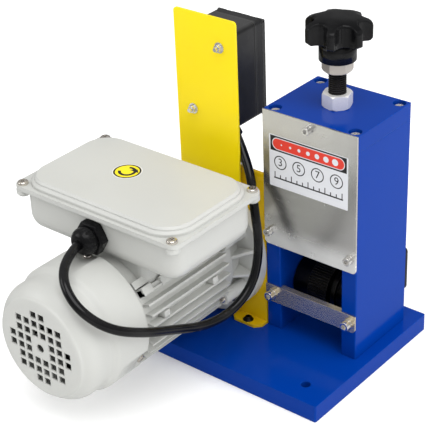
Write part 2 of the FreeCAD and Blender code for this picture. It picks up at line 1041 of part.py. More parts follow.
def make_right_spacer():
    x0 = wheel_start() + wheel_wide
    x1 = inner_right - passing
    neck = rod(groove_radius, groove_wide, on_roller_axis(x0), X_AXIS)
    disc = rod(disc_radius, disc_wide, on_roller_axis(x0 + groove_wide), X_AXIS)
    barrel_x = x0 + groove_wide + disc_wide
    barrel = rod(spacer_radius, x1 - barrel_x, on_roller_axis(barrel_x), X_AXIS)
    body = joined([neck, disc, barrel])
    return body.cut(rod(shaft_bore / 2, x1 - x0, on_roller_axis(x0), X_AXIS))


def make_wheel_key():
    half = key_wide / 2
    low = roller_z + shaft_bore / 2 - (key_high - key_proud)
    x0 = wheel_start()
    return block(x0, x0 + wheel_wide, column_y - half, column_y + half, low, low + key_high)


def ball_bearing(bore, outer, wide, start, axis):
    """Sealed bearing: two races with a shield groove on each face."""
    body = ring(outer / 2, bore / 2 + running, wide, start, axis)
    middle = (outer + bore) / 4
    half = (outer - bore) / 8
    for place in (start, start + axis * (wide - bearing_groove)):
        body = body.cut(ring(middle + half, middle - half, bearing_groove, place, axis))
    return body


def make_roller_bearings():
    left = ball_bearing(shaft_bore, ball_outer, ball_wide, on_roller_axis(inner_left - ball_wide), X_AXIS)
    right = ball_bearing(shaft_bore, ball_outer, ball_wide, on_roller_axis(inner_right), X_AXIS)
    return [left, right]


# Blade carriage

def fork_x():
    """Inner faces of the fork, either side of the blade hub."""
    half = hub_long / 2 + sliding
    return blade_x - half, blade_x + half


def make_blade_carriage():
    x0 = inner_left + sliding
    x1 = inner_right - sliding
    slab = block(x0, x1, column_y - slab_depth / 2, column_y + slab_depth / 2, slab_low, slab_top)
    low = blade_z - fork_below_axle
    left_in, right_in = fork_x()
    cheeks = []
    for a, b in ((left_in - fork_wall, left_in), (right_in, right_in + fork_wall)):
        cheeks.append(block(a, b, column_y - fork_depth / 2, column_y + fork_depth / 2, low, slab_low))
    body = joined([slab] + cheeks)
    tools = [rod(axle_radius, x1 - x0, V(x0, column_y, blade_z), X_AXIS)]
    for side in (-1, 1):
        place = V(column_x, column_y + side * guide_offset, slab_low)
        tools.append(rod(bush_radius, slab_thick, place, Z_AXIS))
    pocket_deep_z = screw_collar_thick + 2 * sliding
    pocket = V(column_x, column_y, slab_top - pocket_deep_z)
    tools.append(rod(screw_collar + sliding, pocket_deep_z, pocket, Z_AXIS))
    for place in retainer_screw_places():
        tools.append(drilled(retainer_screw, retainer_screw_deep, V(place.x, place.y, slab_top), Z_AXIS))
    return cut_all(body, tools)


def make_screw_retainer():
    half = retainer_size / 2
    plate = rounded_block(column_x - half, column_x + half, column_y - half, column_y + half,
                          slab_top, slab_top + retainer_thick, retainer_corner, Z_AXIS)
    tools = [rod(screw_radius + sliding, retainer_thick, V(column_x, column_y, slab_top), Z_AXIS)]
    for side in (-1, 1):
        place = V(column_x, column_y + side * guide_offset, slab_top)
        tools.append(rod(bush_flange + passing, retainer_thick, place, Z_AXIS))
    for place in retainer_screw_places():
        tools.append(plain_hole(retainer_screw, retainer_thick, V(place.x, place.y, slab_top), Z_AXIS))
    return cut_all(plate, tools)


def make_retainer_screws():
    long = retainer_thick + retainer_screw_deep - hole_end
    return [socket_screw(retainer_screw, long, place, Z_AXIS) for place in retainer_screw_places()]


def make_guide_bushes():
    bushes = []
    for side in (-1, 1):
        place = V(column_x, column_y + side * guide_offset, slab_low)
        sleeve = rod(bush_radius, slab_thick, place, Z_AXIS)
        flange = rod(bush_flange, bush_flange_thick, place + Z_AXIS * slab_thick, Z_AXIS)
        bore = rod(guide_radius + running, slab_thick + bush_flange_thick, place, Z_AXIS)
        bushes.append(joined([sleeve, flange]).cut(bore))
    return bushes


def make_guide_rods():
    rods = []
    low = slab_low - guide_past_slab
    for side in (-1, 1):
        place = V(column_x, column_y + side * guide_offset, low)
        rods.append(rod(guide_radius, top_under + guide_in_top - low, place, Z_AXIS))
    return rods


def make_blade_axle():
    left_in, right_in = fork_x()
    left = left_in - fork_wall
    right = right_in + fork_wall
    head = hexagon(axle_flats, axle_head_long, V(left, column_y, blade_z), V(-1, 0, 0))
    shank = rod(axle_radius - running, right - left + axle_head_long, V(left, column_y, blade_z), X_AXIS)
    return joined([head, shank])


def make_axle_nut():
    right = fork_x()[1] + fork_wall
    nut = hexagon(axle_flats, axle_head_long, V(right, column_y, blade_z), X_AXIS)
    return nut.cut(rod(axle_radius, axle_head_long, V(right, column_y, blade_z), X_AXIS))


def make_blade_hub():
    left = blade_x - hub_long / 2
    blade_left = blade_x - blade_thick / 2
    sleeve = rod(hub_radius, hub_long, V(left, column_y, blade_z), X_AXIS)
    flange = rod(hub_flange, hub_flange_thick, V(blade_left - hub_flange_thick, column_y, blade_z), X_AXIS)
    bore = rod(axle_radius + running, hub_long, V(left, column_y, blade_z), X_AXIS)
    return joined([sleeve, flange]).cut(bore)


def make_blade_disc():
    left = blade_x - blade_thick / 2
    half = blade_thick / 2
    body = rod(blade_radius - blade_bevel, blade_thick, V(left, column_y, blade_z), X_AXIS)
    for direction in (1, -1):
        edge = cone(blade_radius, blade_radius - blade_bevel, half - blade_land / 2,
                    V(blade_x + direction * blade_land / 2, column_y, blade_z), X_AXIS * direction)
        body = body.fuse(edge)
    rim = rod(blade_radius, blade_land, V(blade_x - blade_land / 2, column_y, blade_z), X_AXIS)
    body = joined([body, rim])
    return body.cut(rod(hub_radius, blade_thick, V(left, column_y, blade_z), X_AXIS))


# Height screw, nuts and knob

def screw_foot_z():
    return slab_top - screw_collar_thick - sliding


def jam_nut_z():
    return top_upper + jam_nut_lift


def knob_z():
    return jam_nut_z() + jam_nut_high


def make_height_screw():
    foot = screw_foot_z()
    collar = rod(screw_collar, screw_collar_thick, V(column_x, column_y, foot), Z_AXIS)
    end = knob_z() + knob_hub_high + screw_in_knob
    shank = rod(screw_radius, end - foot, V(column_x, column_y, foot), Z_AXIS)
    return joined([collar, shank])


def big_nut(z, high, turned):
    seat = V(column_x, column_y, z)
    body = hexagon(nut_flats, high, seat, Z_AXIS, turned)
    body = body.common(chamfered_disc(nut_flats / math.sqrt(3), high, nut_edge, seat, Z_AXIS))
    return body.cut(rod(screw_radius + running, high, seat, Z_AXIS))


def make_lock_nut():
    return big_nut(top_upper, nut_high, lock_nut_turned)


def make_jam_nut():
    return big_nut(jam_nut_z(), jam_nut_high, jam_nut_turned)


def make_star_knob():
    axis = V(column_x, column_y, 0)
    foot = axis + Z_AXIS * (knob_z() + knob_hub_high)
    lobe_circle = knob_radius - knob_lobe_radius
    dome_high = knob_lobe_high + knob_crown
    core = rod(lobe_circle, dome_high, foot, Z_AXIS)
    lobes = []
    valleys = []
    for number in range(knob_lobes):
        angle = knob_turned + 360.0 * number / knob_lobes
        lobes.append(rod(knob_lobe_radius, dome_high, around(angle, lobe_circle, foot, X_AXIS, Y_AXIS), Z_AXIS))
        half = 180.0 / knob_lobes
        valley = around(angle + half, knob_radius - knob_valley_in, foot, X_AXIS, Y_AXIS)
        valleys.append(rod(knob_valley_radius, dome_high, valley, Z_AXIS))
    star = joined([core] + lobes).cut(valleys)
    dome_radius = (knob_radius ** 2 + knob_crown ** 2) / (2 * knob_crown)
    dome = Part.makeSphere(dome_radius, foot + Z_AXIS * (dome_high - dome_radius))
    outside = knob_radius + knob_skirt_out
    skirt = cone(knob_radius - knob_skirt_in, outside, knob_skirt_high, foot, Z_AXIS)
    upper_low = knob_skirt_high - knob_skirt_overlap
    upper = rod(outside, dome_high - upper_low, foot + Z_AXIS * upper_low, Z_AXIS)
    star = star.common(dome).common(joined([skirt, upper]))
    hub = rod(knob_hub_radius, knob_hub_high, foot - Z_AXIS * knob_hub_high, Z_AXIS)
    bore = rod(screw_radius, knob_hub_high + screw_in_knob, foot - Z_AXIS * knob_hub_high, Z_AXIS)
    return joined([star, hub]).cut(bore)


# Motor

def on_motor_axis(y):
    return V(motor_x, y, motor_z)


def fin_angles():
    angles = []
    for number in range(fins_each_side):
        angle = fin_start + fin_pitch * number
        angles.append(angle)
        angles.append(180 - angle)
    return angles


def radial_plate(angle, inner, outer, thick, y0, y1):
    """Flat plate along the motor axis, standing out from it at an angle."""
    out = V(math.cos(math.radians(angle)), 0, math.sin(math.radians(angle)))
    side = V(-out.z, 0, out.x) * (thick / 2)
    centre = on_motor_axis(y0)
    points = [centre + out * inner - side, centre + out * outer - side,
              centre + out * outer + side, centre + out * inner + side]
    return polygon_prism(points, Y_AXIS * (y1 - y0))


def make_motor_frame():
    y0 = frame_rear_end
    y1 = frame_front_end
    inner = frame_radius - frame_wall
    root = inner + frame_wall / 2
    fins_end = y1 - ear_long
    fins = []
    for angle in fin_angles():
        fins.append(radial_plate(angle, root, fin_radius, fin_thick, y0 + fin_from_end, fins_end))
    for angle in (bar_angle, 180 - bar_angle):
        fins.append(radial_plate(angle, root, bar_radius, bar_wide, y0 + fin_from_end / 2, fins_end))
    pockets = [rod(ear_pocket_radius, ear_pocket, place - Y_AXIS * ear_pocket, Y_AXIS)
               for place in ear_places(fins_end)]
    fins = [fin.cut(pockets) for fin in fins]
    ears = [rod(ear_radius, ear_long, place, Y_AXIS) for place in ear_places(fins_end)]
    neck_y0 = y0 + neck_from_rear
    neck = rounded_block(motor_x - neck_half, motor_x + neck_half, neck_y0, neck_y0 + neck_long,
                         motor_z + frame_radius / 2, box_low, neck_corner, Z_AXIS)
    window = block(motor_x - neck_half + neck_wall, motor_x + neck_half - neck_wall,
                   neck_y0 + neck_wall, neck_y0 + neck_long - neck_wall, motor_z, box_low)
    barrel = rod(frame_radius, y1 - y0, on_motor_axis(y0), Y_AXIS)
    body = joined([barrel, neck.cut(window)] + ears + fins)
    tools = [rod(inner, y1 - y0, on_motor_axis(y0), Y_AXIS)]
    for place in ear_places(fins_end):
        tools.append(plain_hole(ear_screw, ear_long, place, Y_AXIS))
    return cut_all(body, tools)


def make_drive_shield():
    y0 = frame_front_end
    flange = rod(flange_radius, flange_thick, on_motor_axis(flange_front), Y_AXIS)
    spigot = rod(spigot_radius, spigot_high, on_motor_axis(bracket_front), Y_AXIS)
    bell = cone(frame_radius, bell_waist, bell_long, on_motor_axis(y0), Y_AXIS)
    pieces = [flange, spigot, bell]
    for number in range(bell_ribs):
        angle = 360.0 * (number + 0.5) / bell_ribs
        out = V(math.cos(math.radians(angle)), 0, math.sin(math.radians(angle)))
        side = V(-out.z, 0, out.x) * (rib_thick / 2)
        root = on_motor_axis(y0) + out * (bell_waist - shield_rib_root) - side
        low = on_motor_axis(y0) + out * frame_radius - side
        top = on_motor_axis(flange_front) + out * (flange_radius - shield_rib_in) - side
        back = on_motor_axis(flange_front) + out * (bell_waist - shield_rib_root) - side
        pieces.append(polygon_prism([root, low, top, back], side * 2))
    for place in ear_places(y0):
        pieces.append(rod(ear_radius, bell_long, place, Y_AXIS))
    body = joined(pieces)
    hub_radius_out = motor_ball_outer / 2 + hub_wall
    hollow = cone(frame_radius - frame_wall, bell_waist - frame_wall, bell_long, on_motor_axis(y0), Y_AXIS)
    hub = rod(hub_radius_out, bell_long, on_motor_axis(y0), Y_AXIS)
    body = joined([body.cut(hollow), hub])
    tools = [rod(motor_ball_outer / 2, motor_ball_wide, on_motor_axis(y0), Y_AXIS)]
    whole_long = bell_long + flange_thick + spigot_high
    tools.append(rod(shaft_body_radius + shaft_room, whole_long, on_motor_axis(y0), Y_AXIS))
    for place in flange_bolt_places(flange_front):
        tools.append(plain_hole(flange_bolt, flange_thick, place, Y_AXIS))
        tools.append(rod(flange_bolt * nut_room_share, bell_long, place - Y_AXIS * bell_long, Y_AXIS))
    for place in ear_places(y0):
        tools.append(drilled(ear_screw, ear_screw_long - ear_long, place, V(0, -1, 0)))
    return cut_all(body, tools)


def make_rear_shield():
    y0 = shield_rear
    plate = rod(frame_radius, shield_thick, on_motor_axis(y0), Y_AXIS)
    hub = rod(motor_ball_outer / 2 + hub_wall, motor_ball_wide, on_motor_axis(frame_rear_end), Y_AXIS)
    pieces = [plate, hub]
    lug_outer = cover_radius - pocket_deep - cover_wall - passing
    for angle in cover_screw_angles:
        pieces.append(radial_plate(angle, frame_radius - lug_root, lug_outer, lug_wide, y0, frame_rear_end))
    body = joined(pieces)
    tools = [rod(motor_ball_outer / 2, motor_ball_wide, on_motor_axis(frame_rear_end), Y_AXIS)]
    tools.append(rod(shaft_body_radius + shaft_room, shield_thick + motor_ball_wide, on_motor_axis(y0), Y_AXIS))
    for angle in cover_screw_angles:
        out = V(math.cos(math.radians(angle)), 0, math.sin(math.radians(angle)))
        mouth = on_motor_axis(cover_rear - cover_screw_from_rear) + out * lug_outer
        tools.append(drilled(cover_screw, cover_screw_long, mouth, out))
    return cut_all(body, tools)


def make_shield_screws():
    seat_y = frame_front_end - ear_long
    long = ear_screw_long - long_hole_end
    return [pan_screw(ear_screw, long, place, V(0, -1, 0)) for place in ear_places(seat_y)]


def core_start():
    return frame_rear_end + core_from_rear


def make_stator_core():
    start = on_motor_axis(core_start())
    body = ring(frame_radius - frame_wall, core_bore_radius, core_long, start, Y_AXIS)
    cuts = []
    for number in range(slots):
        angle = 360.0 * number / slots
        cuts.append(radial_plate(angle, core_bore_radius - slot_mouth, slot_radius, slot_wide,
                                 core_start(), core_start() + core_long))
    return body.cut(cuts)


def make_stator_windings():
    """Coil heads at both ends, joined by the wire bundles in the slots."""
    pieces = []
    for y in (core_start() - winding_long, core_start() + core_long):
        pieces.append(ring(winding_outer, winding_inner, winding_long, on_motor_axis(y), Y_AXIS))
    for number in range(slots):
        angle = 360.0 * number / slots
        pieces.append(radial_plate(angle, winding_inner, slot_radius - passing, slot_wide - 2 * passing,
                                   core_start() - winding_past_core,
                                   core_start() + core_long + winding_past_core))
    return joined(pieces)


def make_rotor_core():
    start = core_start()
    body = ring(core_bore_radius - air_gap, shaft_body_radius, core_long, on_motor_axis(start), Y_AXIS)
    rings = []
    for y in (start - rotor_ring, start + core_long):
        rings.append(ring(core_bore_radius - rotor_ring_in, shaft_body_radius, rotor_ring,
                          on_motor_axis(y), Y_AXIS))
    return joined([body] + rings)


def make_motor_shaft():
    ball_radius = motor_ball_bore / 2
    rear_ball = frame_rear_end
    front_ball = frame_front_end
    body_start = rear_ball + motor_ball_wide
    body = rod(shaft_body_radius, front_ball - body_start, on_motor_axis(body_start), Y_AXIS)
    seats = rod(ball_radius, flange_front - shaft_seat_short - rear_ball, on_motor_axis(rear_ball), Y_AXIS)
    seats = joined([body, seats])
    front_long = bracket_front + shaft_end_long - front_ball
    front = rod(shaft_end_radius, front_long, on_motor_axis(front_ball), Y_AXIS)
    rear_end = shield_rear - fan_from_shield - fan_wide + fan_shaft_short
    rear = rod(fan_shaft_radius, rear_ball - rear_end, on_motor_axis(rear_end), Y_AXIS)
    return joined([seats, front, rear])


def make_motor_bearings():
    rear = ball_bearing(motor_ball_bore, motor_ball_outer, motor_ball_wide,
                        on_motor_axis(frame_rear_end), Y_AXIS)
    front = ball_bearing(motor_ball_bore, motor_ball_outer, motor_ball_wide,
                         on_motor_axis(frame_front_end), Y_AXIS)
    return [rear, front]


def make_cooling_fan():
    y1 = shield_rear - fan_from_shield
    hub = rod(fan_hub_radius, fan_wide, on_motor_axis(y1 - fan_wide), Y_AXIS)
    disc = rod(fan_radius - fan_disc_in, fan_disc, on_motor_axis(y1 - fan_disc), Y_AXIS)
    pieces = [hub, disc]
    for number in range(fan_blades):
        angle = 360.0 * number / fan_blades
        pieces.append(radial_plate(angle, fan_hub_radius - fan_blade_root, fan_radius, fan_blade_thick,
                                   y1 - fan_wide, y1))
    return joined(pieces).cut(rod(fan_shaft_radius, fan_wide, on_motor_axis(y1 - fan_wide), Y_AXIS))


def cover_shell(radius, edge, y0, y1):
    body = rod(radius, y1 - y0, on_motor_axis(y0), Y_AXIS)
    front = [e for e in body.Edges if isinstance(e.Curve, Part.Circle) and e.Curve.Center.y < y0 + 1]
    return body.makeFillet(edge, front)


def make_fan_cover():
    outer = cover_shell(cover_radius, cover_edge, cover_end, cover_rear)
    inner = cover_shell(cover_radius - cover_wall, cover_edge - cover_wall, cover_end + cover_wall, cover_rear)
    shell = outer.cut(inner)
    plugs = []
    pockets = []
    for angle in cover_screw_angles:
        out = V(math.cos(math.radians(angle)), 0, math.sin(math.radians(angle)))
        foot = on_motor_axis(cover_rear - cover_screw_from_rear) + out * (cover_radius - pocket_deep)
        plugs.append(rod(pocket_radius + cover_wall, pocket_deep + cover_wall, foot - out * cover_wall, out))
        pockets.append(rod(pocket_radius, pocket_deep + pocket_past, foot, out))
        pockets.append(plain_hole(cover_screw, cover_wall, foot - out * cover_wall, out))
    lining = joined(plugs).common(outer)
    shell = joined([shell, lining]).cut(pockets)
    holes = [rod(cover_centre_bore / 2, cover_wall, on_motor_axis(cover_end), Y_AXIS)]
    for column, count in enumerate(cover_rows):
        x = motor_x + (column - (len(cover_rows) - 1) / 2) * cover_pitch
        for row in range(count):
            z = motor_z + (row - (count - 1) / 2) * cover_pitch
            if math.hypot(x - motor_x, z - motor_z) > cover_pitch:
                half = cover_hole / 2
                holes.append(block(x - half, x + half, cover_end, cover_end + cover_wall, z - half, z + half))
    return shell.cut(holes)


def make_fan_cover_screws():
    screws = []
    for angle in cover_screw_angles:
        out = V(math.cos(math.radians(angle)), 0, math.sin(math.radians(angle)))
        seat = on_motor_axis(cover_rear - cover_screw_from_rear) + out * (cover_radius - pocket_deep)
        screws.append(pan_screw(cover_screw, cover_screw_long, seat, out))
    return screws


# Terminal box

def make_terminal_box():
    outer = rounded_block(motor_x - box_x_half, motor_x + box_x_half, box_y - box_y_half, box_y + box_y_half,
                          box_low, box_top, box_corner, Z_AXIS)
    floor_edges = [e for e in outer.Edges if e.BoundBox.ZMax < box_low + 0.01]
    outer = outer.makeFillet(box_floor_round, floor_edges)
    x_in = box_x_half - box_wall
    y_in = box_y_half - box_wall
    inner = rounded_block(motor_x - x_in, motor_x + x_in, box_y - y_in, box_y + y_in,
                          box_low + box_wall, box_top, box_corner - box_wall, Z_AXIS)
    inner_floor = [e for e in inner.Edges if e.BoundBox.ZMax < box_low + box_wall + 0.01]
    inner = inner.makeFillet(box_floor_round - box_wall, inner_floor)
    body = outer.cut(inner)
    bosses = []
    for place in lid_screw_places():
        foot = V(place.x, place.y, box_top - boss_high)
        boss = rod(boss_radius, boss_high, foot, Z_AXIS)
        tip = foot - Z_AXIS * boss_taper
        taper = cone(boss_radius * boss_tip_share, boss_radius, boss_taper, tip, Z_AXIS)
        bosses.append(joined([boss, taper]).cut(inner))
    body = joined([body] + bosses)
    tools = []
    for place in lid_screw_places():
        tools.append(drilled(lid_screw, lid_screw_long, V(place.x, place.y, box_top), Z_AXIS))
    wall_start = V(motor_x, box_y - box_y_half, gland_z)
    tools.append(rod(gland_thread, gland_thread_long + gland_hole_past, wall_start, Y_AXIS))
    tools.append(rod(wire_hole_radius, box_wall, V(motor_x, box_y, box_low), Z_AXIS))
    return cut_all(body, tools)


def lid_tier(x_half, y_half, low, high, corner):
    """One step of the lid, with a sloping edge."""
    tier = rounded_block(motor_x - x_half, motor_x + x_half, box_y - y_half, box_y + y_half,
                         low, low + high, corner, Z_AXIS)
    top_edges = [e for e in tier.Edges if e.BoundBox.ZMin > low + high - 0.01]
    return tier.makeChamfer(lid_slope, top_edges)


def make_terminal_lid():
    rim = rounded_block(motor_x - lid_x_half, motor_x + lid_x_half, box_y - lid_y_half, box_y + lid_y_half,
                        box_top, box_top + lid_rim, lid_corner, Z_AXIS)
    panel = lid_tier(lid_panel_x_half, lid_panel_y_half, box_top + lid_rim, lid_panel, lid_panel_corner)
    raised = lid_tier(lid_panel_x_half - lid_step_in, lid_panel_y_half - lid_step_in, lid_top, lid_step,
                      lid_panel_corner - lid_step_in)
    lid = joined([rim, panel, raised])
    tools = []
    for place in lid_screw_places():
        tools.append(plain_hole(lid_screw, lid_rim, V(place.x, place.y, box_top), Z_AXIS))
    return cut_all(lid, tools)


def make_lid_screws():
    return [pan_screw(lid_screw, lid_screw_long, place, Z_AXIS) for place in lid_screw_places()]


def make_capacitor():
    z = box_low + box_wall + capacitor_radius
    start = V(motor_x - box_x_half + capacitor_from_end, box_y + box_y_half / 3, z)
    can = rod(capacitor_radius, capacitor_long, start, X_AXIS)
    ends = [e for e in can.Edges if isinstance(e.Curve, Part.Circle)]
    return can.makeFillet(capacitor_round, ends)


def make_terminal_block():
    z = box_low + box_wall
    x0 = motor_x + block_from_middle
    y0 = box_y - box_y_half / 2
    body = block(x0, x0 + block_long, y0, y0 + block_wide, z, z + block_high)
    cuts = []
    for number in range(4):
        x = x0 + block_long * (number + 0.5) / 4
        place = V(x, y0 + block_wide / 2, z + block_high / 2)
        cuts.append(rod(block_screw_radius, block_high / 2, place, Z_AXIS))
    return body.cut(cuts)


def gland_face():
    return V(motor_x, box_y - box_y_half, gland_z)


def gland_nose():
    """Where the motor lead leaves the gland."""
    face = gland_face()
    return V(face.x, face.y - gland_hex - gland_dome_long, face.z)


def make_cable_gland():
    face = gland_face()
    out = V(0, -1, 0)
    flange = hexagon(gland_flats, gland_hex, face, out)
    flange = flange.common(chamfered_disc(gland_flats / math.sqrt(3), gland_hex, gland_edge, face, out))
    thread = rod(gland_thread - thread_gap, gland_thread_long, face - out * gland_thread_long, out)
    return joined([flange, thread])


def make_gland_nut():
    out = V(0, -1, 0)
    start = gland_face() + out * gland_hex
    dome = cone(gland_dome_radius, gland_nose_radius, gland_dome_long, start, out)
    rims = [e for e in dome.Edges
            if isinstance(e.Curve, Part.Circle) and abs(e.Curve.Radius - gland_nose_radius) < 0.01]
    dome = dome.makeFillet(gland_nose_round, rims)
    first, second = frame_of(out)
    cuts = []
    for number in range(gland_ribs):
        place = around(360.0 * number / gland_ribs, gland_dome_radius + gland_rib_out, start, first, second)
        cuts.append(rod(gland_rib_radius, gland_dome_long * gland_rib_share, place, out))
    return dome.cut(cuts)


# Bracket and switch

def make_motor_bracket():
    left = bracket_left
    right = column_left - bracket_edge_gap
    low = base_thick
    plate = block(left, right, bracket_front, bracket_back, low, low + bracket_high)
    tab_left = motor_x - bracket_tab_reach
    tab = block(tab_left, right, bracket_front, bracket_back, low, low + bracket_tab_high)
    pieces = [plate, tab]
    for x0, x1 in ((right - foot_wide, right), (left, left + foot_wide)):
        y0 = bracket_back - foot_depth
        foot = block(x0, x1, y0, bracket_back, low, low + bracket_thick)
        front = [e for e in edges_along(foot, Z_AXIS) if e.CenterOfMass.y < y0 + 1]
        pieces.append(foot.makeChamfer(foot_corner, front))
    body = joined(pieces)
    tools = [rod(spigot_radius + running, bracket_thick, on_motor_axis(bracket_front), Y_AXIS)]
    for place in flange_bolt_places(bracket_front):
        tools.append(plain_hole(flange_bolt, bracket_thick, place, Y_AXIS))
    for place in foot_screw_places():
        tools.append(plain_hole(foot_screw, bracket_thick, V(place.x, place.y, base_thick), Z_AXIS))
    for place in stud_places():
        tools.append(plain_hole(stud_size, bracket_thick, V(place.x, bracket_front, place.z), Y_AXIS))
    return cut_all(body, tools)


def make_bracket_screws():
    long = bracket_thick + foot_screw_deep - hole_end
    return [button_screw(foot_screw, long, place, Z_AXIS) for place in foot_screw_places()]


def make_flange_bolts():
    """Bolts from the gearbox side, with their nuts on the motor flange."""
    pieces = []
    head_y = bracket_back + plate_thick
    long = plate_thick + bracket_thick + flange_thick + flange_bolt * bolt_past_share
    for place in flange_bolt_places(head_y):
        head = hexagon(flange_bolt * nut_flats_share, flange_bolt * bolt_head_share, place, Y_AXIS, 30)
        shank = rod(flange_bolt / 2, long, place - Y_AXIS * long, Y_AXIS)
        pieces.append(joined([head, shank]))
    return pieces


def make_flange_nuts():
    return [hex_nut(flange_bolt, place, V(0, -1, 0)) for place in flange_bolt_places(flange_front)]


def make_switch_plate():
    plate = block(plate_left, plate_right, plate_front, plate_back, plate_low, plate_top)
    top = [e for e in edges_along(plate, Y_AXIS) if e.CenterOfMass.z > plate_top - 1]
    plate = plate.makeFillet(switch_plate_corner, top)
    studs = []
    for place in stud_places():
        long = spacer_high + bracket_thick + stud_size * stud_past_share
        studs.append(rod(stud_size / 2, long, place, Y_AXIS))
    tools = [plain_hole(switch_screw, switch_plate_thick, V(p.x, plate_front, p.z), Y_AXIS)
             for p in switch_screw_places()]
    return joined([plate] + studs).cut(tools)


def make_plate_spacers():
    """Hexagon spacers between the two plates, and the nuts behind the bracket."""
    pieces = []
    for place in stud_places():
        body = hexagon(spacer_flats, spacer_high, place, Y_AXIS, 90)
        pieces.append(body.cut(rod(stud_size / 2 + thread_gap, spacer_high, place, Y_AXIS)))
        pieces.append(hex_nut(stud_size, V(place.x, bracket_back, place.z), Y_AXIS))
    return pieces


def make_switch_box():
    x0 = switch_left
    x1 = switch_right
    outer = rounded_block(x0, x1, switch_back, switch_face, switch_under, switch_top, switch_corner, Y_AXIS)
    back_edges = [e for e in outer.Edges if e.BoundBox.YMax < switch_back + 0.01]
    outer = outer.makeFillet(switch_back_round, back_edges)
    wall = switch_wall
    inner = rounded_block(x0 + wall, x1 - wall, switch_back + wall, switch_face, switch_under + wall,
                          switch_top - wall, switch_corner - wall / 2, Y_AXIS)
    body = outer.cut(inner)
    tools = []
    for place in switch_screw_places():
        tools.append(plain_hole(switch_screw, wall, V(place.x, switch_back, place.z), Y_AXIS))
    tools.append(rod(lead_boot_radius - relief_step, wall, lead_entry(), Z_AXIS))
    tools.append(rod(relief_radius - relief_step, wall, mains_entry(), Z_AXIS))
    return cut_all(body, tools)


def make_switch_screws():
    """Screws from inside the switch, with a washer and a nut on the front of the plate."""
    pieces = []
    out = V(0, -1, 0)
    inside = switch_back + switch_wall
    long = switch_wall + switch_plate_thick + washer_thick + switch_screw * switch_screw_past_share
    for place in switch_screw_places():
        pieces.append(pan_screw(switch_screw, long, V(place.x, inside, place.z), Y_AXIS))
        front = V(place.x, plate_front, place.z)
        pieces.append(plain_washer(switch_screw, front, out))
        pieces.append(hex_nut(switch_screw, front + out * washer_thick, out, 20))
    return pieces


def button_span(upper):
    """Lower and upper Z of a button."""
    middle = (switch_under + switch_top) / 2 + button_above_middle
    if upper:
        low = middle + button_gap / 2
    else:
        low = middle - button_gap / 2 - button_tall
    return low, low + button_tall


def switch_middle_x():
    return (switch_left + switch_right) / 2


def make_switch_cover():
    x0 = switch_left
    x1 = switch_right
    plate = rounded_block(x0, x1, switch_face, switch_front_face, switch_under, switch_top,
                          switch_corner, Y_AXIS)
    well = rounded_block(x0 + cover_well_side, x1 - cover_well_side, switch_front_face - cover_well,
                         switch_front_face, switch_under + cover_well_low, switch_top - cover_well_top,
                         cover_well_corner, Y_AXIS)
    body = plate.cut(well)
    tools = []
    half = button_wide / 2 + sliding
    middle = switch_middle_x()
    for upper in (True, False):
        low, high = button_span(upper)
        tools.append(block(middle - half, middle + half, switch_face, switch_front_face,
                           low - sliding, high + sliding))
    hinge = V(x0, switch_front_face + flap_deep / 2, flap_hinge_z())
    tools.append(rod(flap_hinge_radius + sliding, x1 - x0, hinge, X_AXIS))
    body = cut_all(body, tools)
    lugs = []
    for a in (x0 + flap_knuckle, x1 - 2 * flap_knuckle):
        lug = rod(flap_hinge_radius - hinge_lug_in, flap_knuckle, V(a, hinge.y, hinge.z), X_AXIS)
        stem = block(a, a + flap_knuckle, switch_front_face - hinge_stem_root, hinge.y,
                     hinge.z - hinge_stem_half, hinge.z + hinge_stem_half)
        lugs.append(joined([lug, stem]))
    body = joined([body] + lugs)
    return body.cut(rod(flap_pin_radius, x1 - x0, hinge, X_AXIS))


def flap_hinge_z():
    return switch_top - flap_hinge_down


def make_flap_pin():
    y = switch_front_face + flap_deep / 2
    start = V(switch_left + flap_pin_in, y, flap_hinge_z())
    return rod(flap_pin_radius, switch_wide - 2 * flap_pin_in, start, X_AXIS)


def make_switch_flap():
    x0 = switch_left
    x1 = switch_right
    y0 = switch_front_face + sliding
    y1 = switch_front_face + flap_deep
    hinge_y = switch_front_face + flap_deep / 2
    hinge_z = flap_hinge_z()
    plate = rounded_block(x0, x1, y0, y1, switch_under, hinge_z, flap_corner, Y_AXIS)
    hollow = block(x0 + flap_wall, x1 - flap_wall, y0, y1 - flap_wall, switch_under + flap_wall,
                   hinge_z - 2 * flap_hinge_radius)
    middle = switch_middle_x()
    lip = block(middle - flap_lip_half, middle + flap_lip_half, y1 - flap_wall, y1 + flap_lip_out,
                switch_under, switch_under + flap_lip)
    knuckle = rod(flap_hinge_radius, x1 - x0, V(x0, hinge_y, hinge_z), X_AXIS)
    body = joined([plate.cut(hollow), lip, knuckle])
    tools = [rod(flap_pin_radius + running, x1 - x0, V(x0, hinge_y, hinge_z), X_AXIS)]
    for a in (x0 + flap_knuckle, x1 - 2 * flap_knuckle):
        tools.append(block(a - sliding, a + flap_knuckle + sliding, y0 - flap_knuckle_back,
                           hinge_y + flap_hinge_radius + flap_knuckle_room,
                           hinge_z - flap_hinge_radius - flap_knuckle_low_room,
                           hinge_z + flap_hinge_radius + flap_knuckle_room))
    return cut_all(body, tools)


def make_button(upper):
    low, high = button_span(upper)
    middle = switch_middle_x()
    face = switch_front_face - cover_well + button_proud
    body = rounded_block(middle - button_wide / 2, middle + button_wide / 2, face - button_deep, face,
                         low, high, button_corner, Y_AXIS)
    front = [e for e in body.Edges if e.BoundBox.YMin > face - 0.01]
    return body.makeFillet(button_round, front)


def make_contact_block():
    face = switch_front_face - cover_well + button_proud - button_deep - button_travel - passing
    middle = (switch_under + switch_top) / 2
    x = switch_middle_x()
    body = block(x - contact_wide / 2, x + contact_wide / 2, switch_back + switch_wall, face,
                 middle - contact_tall / 2, middle + contact_tall / 2)
    return body


# Gearbox

